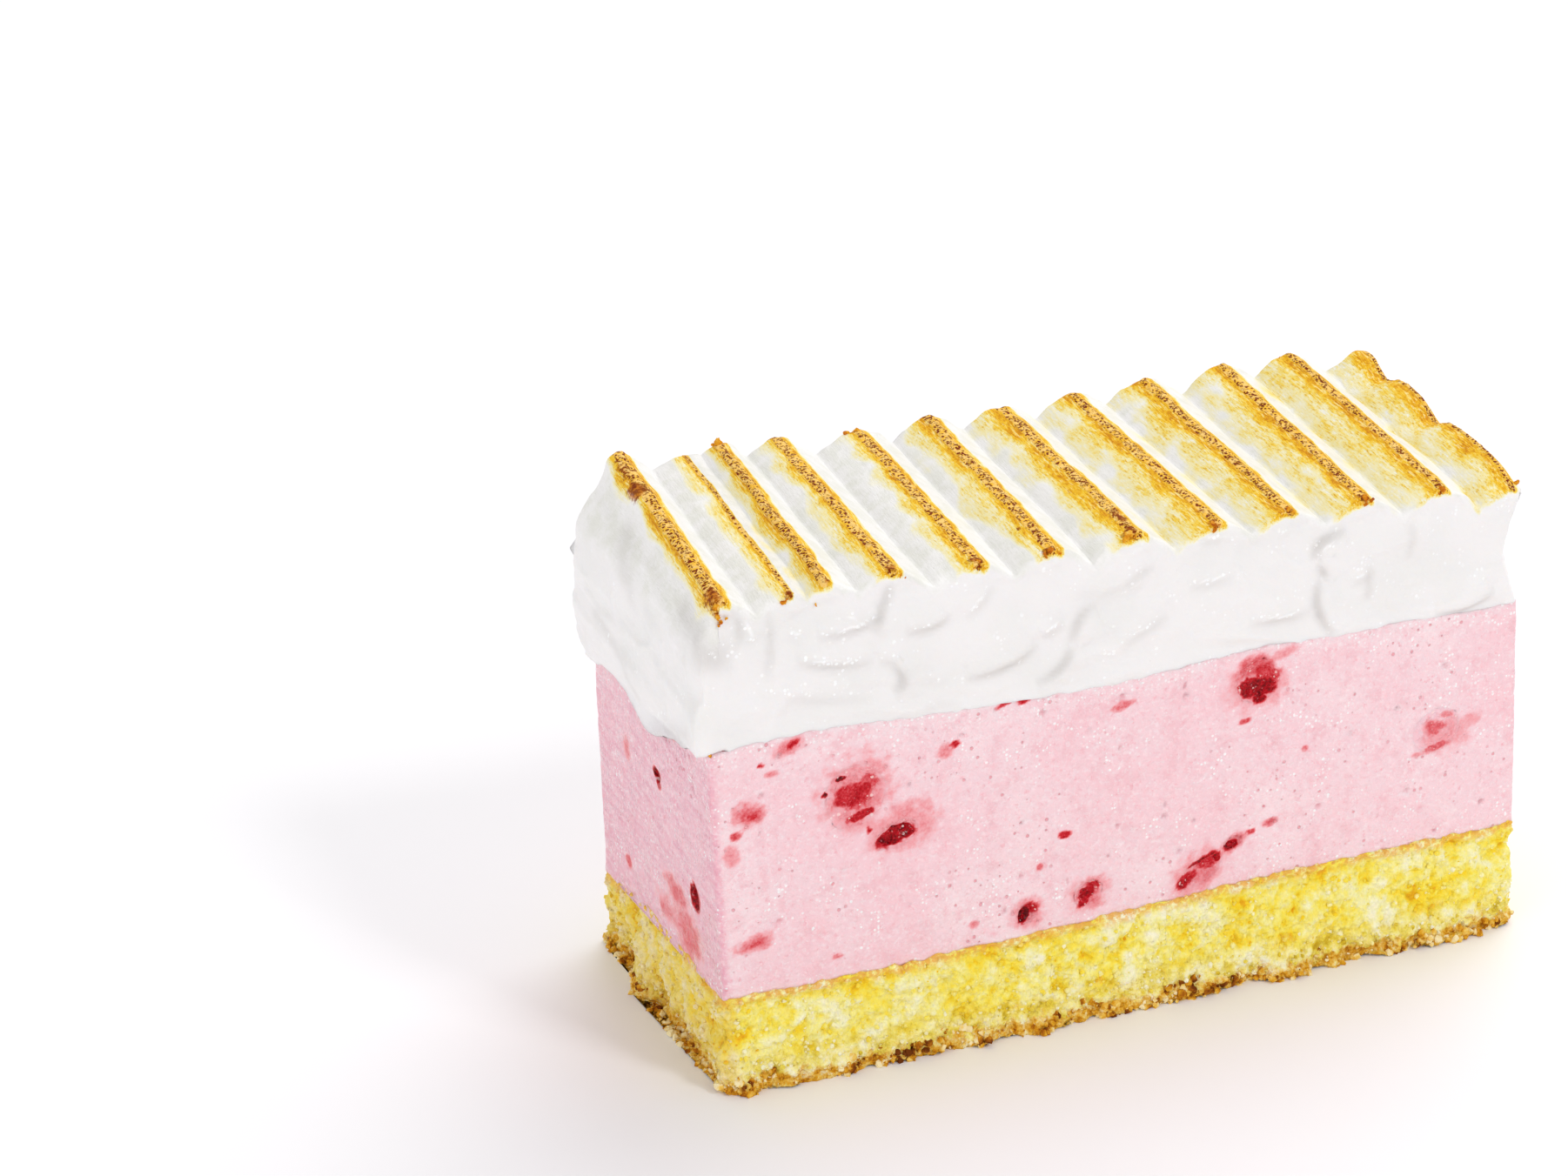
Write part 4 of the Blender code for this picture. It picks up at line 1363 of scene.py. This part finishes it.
def red_flesh(tree, place):
    """The colour of the red at a place, from mousse pink through coral to near black, and its level. The
    darkest reds also paint the shade in holes.
    """
    level = painted(tree, "juice")
    wide, fine = cloud(tree, place, 0.9, 4.0, 0.65), cloud(tree, place, 0.32, 2.0, 0.6)
    mottled = together(tree, (wide, 0.8), (fine, 0.8))
    level = plus(tree, level, times(tree, mottled, level))
    stops = (
        (0.0, 247, 208, 216),
        (0.25, 243, 166, 172),
        (0.417, 228, 106, 113),
        (0.583, 208, 44, 54),
        (0.708, 188, 8, 26),
        (0.833, 156, 0, 14),
        (0.958, 94, 0, 6),
    )
    return ramp(tree, calc(tree, "DIVIDE", level, 1.2), stops), level


def mousse_look():
    """Pink mousse with red juice round the fruit, fine pits, wet gloss, painted shade on its left end, and
    white dots that are pale bubbles and painted glints.
    """
    material, tree, shader = new_material("strawberry_mousse")
    place = object_place(tree)
    wide = cloud(tree, place, 11.0, 3.0, 0.55)
    colour = ramp(tree, wide, ((0.3, 249, 205, 212), (0.52, 247, 212, 218), (0.72, 250, 220, 224)))
    # The left end is a darker pink, which is painted shade, with streaks across it
    leaning = stretched(tree, place, Rotation=(0.9, 0.0, 0.0), Scale=(1, 0.2, 1))
    strokes = span(tree, cloud(tree, leaning, 0.8, 3.0, 0.6), 0.35, 0.65)
    end_shade_pink = blended(tree, strokes, (234, 172, 188), (243, 196, 206))
    colour = blended(tree, painted(tree, "end"), colour, end_shade_pink)
    from_seam = painted(tree, "seam")
    lighter = times(tree, from_seam, span(tree, cloud(tree, place, 1.2, 3.0, 0.7), 0.36, 0.6))
    # White dots in clusters, more of them by the meringue: pale bubbles and painted glints
    clusters = span(tree, cloud(tree, place, 4.0, 3.0, 0.6), 0.52, 0.62)
    clusters = larger(tree, clusters, times(tree, from_seam, 0.8))
    small_pits = times(tree, scattered_dots(tree, place, 0.8, 0.55, 0.32), span(tree, wide, 0.46, 0.56))
    layers = (
        (lighter, 0.5, (246, 228, 230)),
        (span(tree, cloud(tree, place, 3.2, 4.0, 0.65), 0.48, 0.68), 0.6, (241, 190, 198)),
        (span(tree, cloud(tree, place, 0.9, 4.0, 0.75), 0.54, 0.72), 0.65, (238, 164, 176)),
        (span(tree, cloud(tree, place, 0.7, 4.0, 0.75), 0.5, 0.36), 0.45, (254, 236, 238)),
        (times(tree, scattered_dots(tree, place, 0.42, 0.3, 0.5), clusters), 0.9, (255, 249, 249)),
        (small_pits, 0.5, (230, 96, 116)),
    )
    for where, share, over in layers:
        colour = laid(tree, colour, where, share, over)
    flesh, level = red_flesh(tree, place)
    colour = blended(tree, span(tree, level, 0.03, 0.3), colour, flesh)
    colour = laid(tree, colour, painted(tree, "pit"), 0.4, (228, 116, 130))
    ripple = bumped(tree, cloud(tree, place, 0.7, 4.0, 0.65), 0.2, 0.8)
    beads = bumped(tree, cells(tree, place, 0.42), -0.1, 0.7, ripple)
    normal = bumped(tree, small_pits, -0.15, 0.8, beads)
    wet_gloss_and_glints = span(tree, cloud(tree, place, 2.2, 3.0), 0.42, 0.62, 0.42, 0.13)
    dull_red = span(tree, level, 0.2, 0.7, 0.35, 0.12)
    finish_shader(tree, shader, Base_Color=colour, Roughness=wet_gloss_and_glints, Normal=normal, Specular_IOR_Level=dull_red)
    soften(tree, shader, 0.25, (1.0, 0.45, 0.45), 0.5)
    return material


def sponge_look():
    """Yellow crumb, a deeper yellow in its hollows as painted shade, with a browned and broken lower crust.
    """
    material, tree, shader = new_material("yellow_sponge")
    place = object_place(tree)
    hollow = painted(tree, "hollow")
    wide = cloud(tree, place, 4.5, 3.0, 0.6)
    fine = cloud(tree, place, 0.8, 3.0, 0.7)
    clumps = cloud(tree, place, 1.9, 3.0, 0.65)
    # The crumb's own uneven tone, a deeper yellow in its hollows as painted shade and paler on its crumbs as
    # a painted highlight
    tone = plus(tree, together(tree, (hollow, 0.4), (wide, 0.85), (clumps, 0.55), (fine, 0.3)), 0.665)
    stops = (
        (0.4, 255, 249, 216),
        (0.55, 255, 247, 186),
        (0.67, 255, 241, 140),
        (0.78, 255, 233, 92),
        (0.9, 254, 219, 48),
        (1.0, 242, 182, 36),
    )
    colour = ramp(tree, tone, stops)
    spot = node(tree, "ShaderNodeSeparateXYZ", {0: place})
    low = frayed(tree, spot.outputs["Z"], cloud(tree, place, 1.8, 4.0, 0.7), 7.0 * MM)
    low_grain = cloud(tree, place, 1.2, 3.0, 0.7)
    # Near the table the hollows turn olive, which is painted shade
    low_tone = plus(tree, together(tree, (hollow, 0.5), (low_grain, 1.1)), 0.5)
    low_stops = ((0.3, 255, 250, 224), (0.48, 255, 240, 160), (0.64, 240, 218, 84), (0.82, 200, 168, 40))
    low_colour = ramp(tree, low_tone, low_stops)
    colour = laid(tree, colour, span(tree, low, 6.0 * MM, 2.2 * MM), 0.85, low_colour)
    # Painted shade: the sponge's left end is darker and more orange
    left_end_shade = span(tree, spot.outputs["X"], -48.6 * MM, -50.2 * MM)
    colour = laid(tree, colour, left_end_shade, 0.3, (224, 172, 84))
    crust = browned_crust(tree, cloud(tree, place, 1.1, 3.0, 0.7))
    colour = blended(tree, span(tree, low, 2.2 * MM, 0.9 * MM), colour, crust)
    orange = times(tree, painted(tree, "under_seam"), span(tree, fine, 0.36, 0.56))
    colour = laid(tree, colour, orange, 0.9, (240, 178, 84))
    crumb = bumped(tree, cells(tree, place, 0.5), -0.25, 0.8)
    finish_shader(tree, shader, Base_Color=colour, Normal=bumped(tree, fine, 0.3, 0.8, crumb))
    finish_shader(tree, shader, Roughness=0.85, Specular_IOR_Level=0.12)
    soften(tree, shader, 0.2, (1.0, 0.8, 0.35), 0.4)
    return material


def browned_crust(tree, factor):
    """The baked underside, from pale to orange-gold and dark brown."""
    stops = (
        (0.3, 250, 234, 186),
        (0.42, 242, 204, 104),
        (0.54, 226, 166, 38),
        (0.66, 176, 104, 18),
        (0.78, 114, 56, 12),
    )
    return ramp(tree, factor, stops)


def crust_look():
    """Broken bits of the browned underside, each with a tone of its own."""
    material, tree, shader = new_material("browned_crust")
    place = object_place(tree)
    grain = cloud(tree, place, 0.5, 3.0, 0.7)
    patches = cloud(tree, place, 3.4, 2.0, 0.6)
    own = painted(tree, "hollow")
    tone = plus(tree, together(tree, (patches, 1.7), (own, 0.36), (grain, 0.4)), 0.48)
    finish_shader(tree, shader, Base_Color=browned_crust(tree, tone), Normal=bumped(tree, grain, 0.2, 0.8))
    finish_shader(tree, shader, Roughness=0.8, Specular_IOR_Level=0.1)
    return material


def berry_look():
    """Wet, bubbly strawberry flesh, with painted white glints."""
    material, tree, shader = new_material("strawberry_flesh")
    place = object_place(tree)
    flesh, _ = red_flesh(tree, place)
    bubbles = span(tree, cloud(tree, place, 0.35, 2.0, 0.6), 0.62, 0.72)
    colour = laid(tree, flesh, bubbles, 0.4, (240, 150, 160))
    # Painted glints: white dots in patches
    glint_places = span(tree, cloud(tree, place, 1.8, 2.0), 0.5, 0.6)
    wet_gloss_and_glints = times(tree, scattered_dots(tree, place, 0.45, 0.4, 0.5), glint_places)
    colour = laid(tree, colour, wet_gloss_and_glints, 0.7, (255, 226, 222))
    beads = bumped(tree, cells(tree, place, 0.4), -0.14, 0.8)
    normal = bumped(tree, cloud(tree, place, 0.25, 2.0), 0.1, 0.6, beads)
    finish_shader(tree, shader, Base_Color=colour, Normal=normal, Roughness=0.13, Specular_IOR_Level=0.14)
    soften(tree, shader, 0.2, (1.0, 0.2, 0.2), 0.4)
    return material


# Geometry Nodes

FULL_TURN = 6.28


class Maker:
    """A Geometry Nodes tree with named inputs, run once on an object to give a plain mesh."""

    def __init__(self, name):
        self.name = name
        self.tree = bpy.data.node_groups.new(name, "GeometryNodeTree")
        self.values = {}
        for way in ("INPUT", "OUTPUT"):
            self.tree.interface.new_socket("Geometry", in_out=way, socket_type="NodeSocketGeometry")
        self.given = self.tree.nodes.new("NodeGroupInput")

    def size(self, name, value, kind="Float"):
        """Adds a named input and gives its output for use in the tree."""
        socket = self.tree.interface.new_socket(name, in_out="INPUT", socket_type="NodeSocket" + kind)
        self.values[socket.identifier] = value
        return self.given.outputs[name]

    def run(self, geometry, material, source):
        """Ends the tree with that geometry and gives the finished piece. The source keeps no modifier."""
        real = node(self.tree, "GeometryNodeRealizeInstances", {0: geometry}).outputs[0]
        sockets = {"Geometry": real, "Material": material}
        dressed = node(self.tree, "GeometryNodeSetMaterial", sockets).outputs[0]
        node(self.tree, "NodeGroupOutput", {0: dressed})
        modifier = source.modifiers.new(self.name, "NODES")
        modifier.node_group = self.tree
        for identifier, value in self.values.items():
            modifier[identifier] = value
        shaped = source.evaluated_get(bpy.context.evaluated_depsgraph_get())
        mesh = bpy.data.meshes.new_from_object(shaped)
        mesh.name = self.name
        source.modifiers.remove(modifier)
        return add_object(self.name, mesh)


def vector_calc(tree, operation, first, second):
    return node(tree, "ShaderNodeVectorMath", {0: first, 1: second}, operation=operation).outputs[0]


def scaled(tree, vector, factor):
    return node(tree, "ShaderNodeVectorMath", {0: vector, "Scale": factor}, operation="SCALE").outputs[0]


def position(tree):
    return node(tree, "GeometryNodeInputPosition").outputs[0]


def height_of(tree, place):
    return node(tree, "ShaderNodeSeparateXYZ", {0: place}).outputs[2]


def stored(tree, geometry, name, value):
    sockets = {"Geometry": geometry, "Name": name, "Value": value}
    settings = {"data_type": "FLOAT", "domain": "POINT"}
    return node(tree, "GeometryNodeStoreNamedAttribute", sockets, **settings).outputs[0]


def spare(tree, name):
    """A number stored on the mesh."""
    return node(tree, "GeometryNodeInputNamedAttribute", {"Name": name}, data_type="FLOAT").outputs[0]


def moved(tree, geometry, offset):
    return node(tree, "GeometryNodeSetPosition", {"Geometry": geometry, "Offset": offset}).outputs[0]


def pushed_out(maker, height):
    """The given mesh with its sides moved out by height. Nothing moves up or down."""
    tree = maker.tree
    normal = node(tree, "GeometryNodeInputNormal").outputs[0]
    level_way = vector_calc(tree, "MULTIPLY", normal, (1.0, 1.0, 0.0))
    return moved(tree, maker.given.outputs[0], scaled(tree, level_way, height))


def noise_by_size(tree, where, size, detail=2.0):
    sockets = {"Vector": where, "Scale": calc(tree, "DIVIDE", 1.0, size), "Detail": detail}
    return minus(tree, node(tree, "ShaderNodeTexNoise", sockets).outputs[0], 0.5)


def rounded_cells(tree, place, size):
    """Rounded clumps of that size with creases between them, from about -0.3 to 0.45."""
    sockets = {"Vector": place, "Scale": calc(tree, "DIVIDE", 1.0, size)}
    return minus(tree, 0.45, node(tree, "ShaderNodeTexVoronoi", sockets).outputs["Distance"])


def above_table(tree, geometry):
    """Nothing reaches below the sponge's own underside."""
    parts = node(tree, "ShaderNodeSeparateXYZ", {0: position(tree)})
    height = larger(tree, parts.outputs[2], 0.0)
    sockets = {0: parts.outputs[0], 1: parts.outputs[1], 2: height}
    spot = node(tree, "ShaderNodeCombineXYZ", sockets).outputs[0]
    return node(tree, "GeometryNodeSetPosition", {"Geometry": geometry, "Position": spot}).outputs[0]


def by_chance(tree, seed):
    """A number from 0 to 1 for each point."""
    return node(tree, "FunctionNodeRandomValue", {2: 0.0, 3: 1.0, "Seed": seed}, data_type="FLOAT").outputs[1]


def balls_on(tree, points, ball_steps, size, seed):
    """A ball of that size on each point, turned by chance."""
    ball = node(tree, "GeometryNodeMeshIcoSphere", {"Radius": 1.0, "Subdivisions": ball_steps}).outputs[0]
    sockets = {0: (0.0, 0.0, 0.0), 1: (FULL_TURN, FULL_TURN, FULL_TURN), "Seed": seed}
    turn = node(tree, "FunctionNodeRandomValue", sockets, data_type="FLOAT_VECTOR").outputs[0]
    sockets = {"Points": points, "Instance": ball, "Rotation": turn, "Scale": size}
    balls = node(tree, "GeometryNodeInstanceOnPoints", sockets).outputs[0]
    return node(tree, "GeometryNodeRealizeInstances", {0: balls}).outputs[0]


def crumpled(tree, geometry, scale, detail, depth):
    """Each point of the geometry pushed its own way by noise of that scale."""
    sockets = {"Vector": position(tree), "Scale": scale, "Detail": detail}
    rough = node(tree, "ShaderNodeTexNoise", sockets).outputs[1]
    push = vector_calc(tree, "SUBTRACT", rough, (0.5, 0.5, 0.5))
    return moved(tree, geometry, scaled(tree, push, depth))


def crumbly(source, material):
    """The open crumb: torn hollows, clumps and small crumbs."""
    maker = Maker("sponge_crumb")
    tree = maker.tree
    torn = maker.size("Torn depth", 2.5 * MM)
    torn_size = maker.size("Torn size", 3.0 * MM)
    clump = maker.size("Clump height", 0.6 * MM)
    clump_size = maker.size("Clump size", 1.4 * MM)
    crumb = maker.size("Crumb height", 0.9 * MM)
    crumb_size = maker.size("Crumb size", 0.6 * MM)
    place = position(tree)
    wide = noise_by_size(tree, place, torn_size, 5.0)
    clumps = rounded_cells(tree, place, clump_size)
    crumbs = noise_by_size(tree, place, crumb_size)
    relief = plus(tree, times(tree, wide, torn), times(tree, clumps, clump))
    relief = plus(tree, relief, times(tree, crumbs, crumb))
    shaped = pushed_out(maker, times(tree, spare(tree, "open"), relief))
    # The depth of each place, stored as hollow: the material paints deeper places as shade
    hollow = plus(tree, times(tree, wide, -1.9), 0.55)
    hollow = minus(tree, hollow, times(tree, plus(tree, clumps, crumbs), 0.5))
    return maker.run(stored(tree, above_table(tree, shaped), "hollow", hollow), material, source)


def strewn(maker, share, smallest_mm, largest_mm, rough_size_mm):
    """Rough little balls strewn over the given mesh, each turned, sized and toned by chance."""
    tree = maker.tree
    smallest = maker.size("Smallest", smallest_mm * MM)
    largest = maker.size("Largest", largest_mm * MM)
    rough_size = maker.size("Roughness", rough_size_mm * MM)
    seed = maker.size("Seed", 7, "Int")
    sockets = {"Mesh": maker.given.outputs[0], "Density": share, "Seed": seed}
    points = node(tree, "GeometryNodeDistributePointsOnFaces", sockets, distribute_method="RANDOM").outputs[0]
    toned = stored(tree, points, "hollow", by_chance(tree, 11))
    rare = calc(tree, "POWER", by_chance(tree, 5), 2.5)
    size = plus(tree, smallest, times(tree, minus(tree, largest, smallest), rare))
    balls = balls_on(tree, toned, 1, size, 3)
    scale = calc(tree, "DIVIDE", 1.6, rough_size)
    return above_table(tree, crumpled(tree, balls, scale, 3.0, times(tree, rough_size, 1.6)))


def scattered_crumbs(source, material):
    """Loose crumbs that cling to the sponge's sides, more of them near the bottom."""
    maker = Maker("clinging_crumbs")
    tree = maker.tree
    density = maker.size("Crumbs per square metre", 1.8e6)
    low = span(tree, height_of(tree, position(tree)), 7.0 * MM, 0.5 * MM, 0.45, 1.0)
    share = times(tree, times(tree, density, low), spare(tree, "open"))
    return maker.run(strewn(maker, share, 0.1, 0.4, 0.4), material, source)


def broken_crust(source, material):
    """Clumps of the browned underside that stand out along the foot of the sponge."""
    maker = Maker("broken_crust")
    tree = maker.tree
    density = maker.size("Clumps per square metre", 7.0e6)
    place = position(tree)
    patchy = span(tree, noise_by_size(tree, place, 3.5 * MM), -0.1, 0.12, 0.1, 1.0)
    wavy = times(tree, noise_by_size(tree, place, 6.0 * MM), 5.0 * MM)
    lifted = plus(tree, height_of(tree, place), wavy)
    low = times(tree, span(tree, lifted, 2.4 * MM, 0.4 * MM), patchy)
    share = times(tree, times(tree, density, low), spare(tree, "crusty"))
    return maker.run(strewn(maker, share, 0.1, 0.6, 0.7), material, source)


def toasted_flecks(material):
    """Crumpled bits of browned meringue at the ridges' ends, one at each place in the list."""
    mesh = bpy.data.meshes.new("fleck_places")
    mesh.from_pydata([Vector(row[:3]) * MM for row in FLECKS_MM], [], [])
    layer = mesh.attributes.new("fleck_size", "FLOAT", "POINT")
    layer.data.foreach_set("value", [row[3] * MM for row in FLECKS_MM])
    places = add_object("fleck_places", mesh)
    maker = Maker("toasted_flecks")
    tree = maker.tree
    crumple = maker.size("Crumple depth", 0.9 * MM)
    crumple_size = maker.size("Crumple size", 0.55 * MM)
    points = node(tree, "GeometryNodeMeshToPoints", {"Mesh": maker.given.outputs[0]}).outputs[0]
    size = spare(tree, "fleck_size")
    sockets = {0: size, 1: times(tree, size, 0.75), 2: times(tree, size, 0.6)}
    shape = node(tree, "ShaderNodeCombineXYZ", sockets).outputs[0]
    balls = balls_on(tree, points, 4, shape, 4)
    scale = calc(tree, "DIVIDE", 1.0, crumple_size)
    flecks = maker.run(crumpled(tree, balls, scale, 2.0, crumple), material, places)
    bpy.data.objects.remove(places, do_unlink=True)
    return flecks


def bubbly(source, material):
    """The mousse's cut sides: faint ripples, and small pits where bubbles were cut open."""
    maker = Maker("mousse_block")
    tree = maker.tree
    ripple = maker.size("Ripple height", 0.4 * MM)
    ripple_size = maker.size("Ripple size", 2.4 * MM)
    pit_depth = maker.size("Pit depth", 0.4 * MM)
    pit_spacing = maker.size("Pit spacing", 2.0 * MM)
    place = position(tree)
    ripples = times(tree, noise_by_size(tree, place, ripple_size, 4.0), ripple)
    pit = chance_dots(tree, place, calc(tree, "DIVIDE", 1.0, pit_spacing), 0.62, 0.24, 0.12)
    shaped = pushed_out(maker, minus(tree, ripples, times(tree, pit, pit_depth)))
    return maker.run(stored(tree, shaped, "pit", pit), material, source)


# Stage

CAMERA_TURN = -22.73
CAMERA_RISE = 25.88
CAMERA_LENS_MM = 110.14
CAMERA_SENSOR_MM = 36.0
CAMERA_RIGHT, CAMERA_UP, CAMERA_BACK = -0.0324, 0.0414, 0.5756
CAMERA_NUDGE = Vector((-0.0005, 0.0, 0.0))
FLOOR_HALF = 3.0
ROOM_LIGHT = 0.62
# Far lamps: the way to each from the slice, its spread in degrees, its strength
LAMPS = {
    "window": ((0.55, 0.45, 0.75), 50.0, 1.22),
    "high_lamp": ((0.35, -0.6, 0.72), 12.0, 0.57),
    "left_glow": ((-0.9, -0.35, 0.25), 40.0, 0.57),
    "small_glint": ((0.42, -0.84, 0.34), 4.0, 0.2),
}


def make_camera():
    """The photograph's own viewing angle: a long lens, from the left and well above."""
    turn = math.radians(CAMERA_TURN)
    rise = math.radians(CAMERA_RISE)
    back = Vector((math.sin(turn) * math.cos(rise), -math.cos(turn) * math.cos(rise), math.sin(rise)))
    right = Vector((math.cos(turn), math.sin(turn), 0.0))
    up = back.cross(right)
    data = bpy.data.cameras.new("camera")
    data.lens = CAMERA_LENS_MM
    data.sensor_width = CAMERA_SENSOR_MM
    data.clip_start = 0.01
    camera = add_object("camera", data)
    pose = Matrix((right, up, back)).transposed().to_4x4()
    pose.translation = right * CAMERA_RIGHT + up * CAMERA_UP + back * CAMERA_BACK + CAMERA_NUDGE
    camera.matrix_world = pose
    bpy.context.scene.camera = camera


def make_floor():
    mesh = bpy.data.meshes.new("floor")
    corners = [(x * FLOOR_HALF, y * FLOOR_HALF, 0) for x, y in ((-1, -1), (1, -1), (1, 1), (-1, 1))]
    mesh.from_pydata(corners, [], [(0, 1, 2, 3)])
    material, tree, shader = new_material("pale_floor")
    finish_shader(tree, shader, Base_Color=(0.95, 0.942, 0.962, 1.0), Roughness=0.7)
    mesh.materials.append(material)
    add_object("floor", mesh)


def make_light():
    world = bpy.data.worlds.new("soft_room")
    world.use_nodes = True
    background = world.node_tree.nodes["Background"]
    background.inputs["Color"].default_value = (1.0, 1.0, 1.0, 1.0)
    background.inputs["Strength"].default_value = ROOM_LIGHT
    bpy.context.scene.world = world
    for name, (towards, spread, strength) in LAMPS.items():
        data = bpy.data.lights.new(name, "SUN")
        data.angle = math.radians(spread)
        data.energy = strength
        lamp = add_object(name, data)
        lamp.rotation_euler = Vector(towards).to_track_quat("Z", "Y").to_euler()
    bpy.context.scene.view_settings.view_transform = "Standard"


# The pieces

SPONGE_COUNTS = (508, 188, 66)
MOUSSE_COUNTS = (330, 120, 96)


def dress(piece, slot, *nodes):
    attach(piece, "root")
    if nodes:
        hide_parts(*nodes)


def under_mousse(point):
    """Height over the seam between sponge and mousse."""
    return point.z - sponge_seam(point.x, point.y)


def make_sponge():
    base = block_shell("sponge_form", SPONGE_COUNTS, sponge_place(SPONGE_COUNTS), False)
    paint(base.data, "open", lambda p: 1.0 - 0.75 * smooth_step(-1.0 * MM, 0.0, under_mousse(p)))
    paint(base.data, "under_seam", lambda p: smooth_step(-1.8 * MM, -0.1 * MM, under_mousse(p)))
    paint(base.data, "crusty", crusty_share)
    material = sponge_look()
    sponge = crumbly(base, material)
    crumbs = scattered_crumbs(sponge, material)
    crust = broken_crust(sponge, crust_look())
    bpy.data.objects.remove(base, do_unlink=True)
    dress(sponge, "sponge", "sponge_base")
    dress(crumbs, "sponge")
    dress(crust, "sponge")


def end_share(point):
    """1 on the mousse's left end, 0 on its other sides."""
    return smooth_step(1.2 * MM, 0.2 * MM, point.x + LENGTH / 2 - lean(point.z))


def make_mousse():
    base = block_shell("mousse_form", MOUSSE_COUNTS, mousse_place(MOUSSE_COUNTS), False)
    paint(base.data, "juice", redness)
    paint(base.data, "end", end_share)
    paint(base.data, "seam", lambda p: smooth_step(2.6 * MM, 0.2 * MM, seam_distance(p)))
    mousse = bubbly(base, mousse_look())
    bpy.data.objects.remove(base, do_unlink=True)
    dress(mousse, "mousse", "yogurt_mousse")


def make_meringue():
    stations = LEFT_STEPS + (len(RIDGES_MM) - 1) * RIDGE_STEPS + RIGHT_STEPS
    counts = (stations, len(ACROSS_ROWS) - 1, len(UP_LEVELS) - 1)
    meringue = block_shell("combed_meringue", counts, meringue_place(counts), True)
    smooth_corner(meringue.data)
    levels = {
        "toast": toast_level,
        "crest": crest_level,
        "burnt": burnt_level,
        "top": top_share,
        # shine holds where the painted glints go, shade where the painted shade goes
        "shine": stroke_shine,
        "shade": shade_level,
    }
    for name, value_at in levels.items():
        paint(meringue.data, name, value_at)
    paint_vector(meringue.data, "comb", comb_place)
    meringue.data.materials.append(meringue_look())
    dress(meringue, "meringue", "meringue_top")
    dress(toasted_flecks(fleck_look()), "meringue")


def make_berries():
    material = berry_look()
    pieces = [(wall, piece) for wall, rows in FRUIT_MM.items() for piece in rows]
    for number, (wall, piece) in enumerate(pieces, start=1):
        berry = fruit_piece(number, wall, piece, material)
        dress(berry, "fruit", f"strawberry_piece_{number}")


make_sponge()
make_mousse()
make_meringue()
make_berries()
make_camera()
make_floor()
make_light()
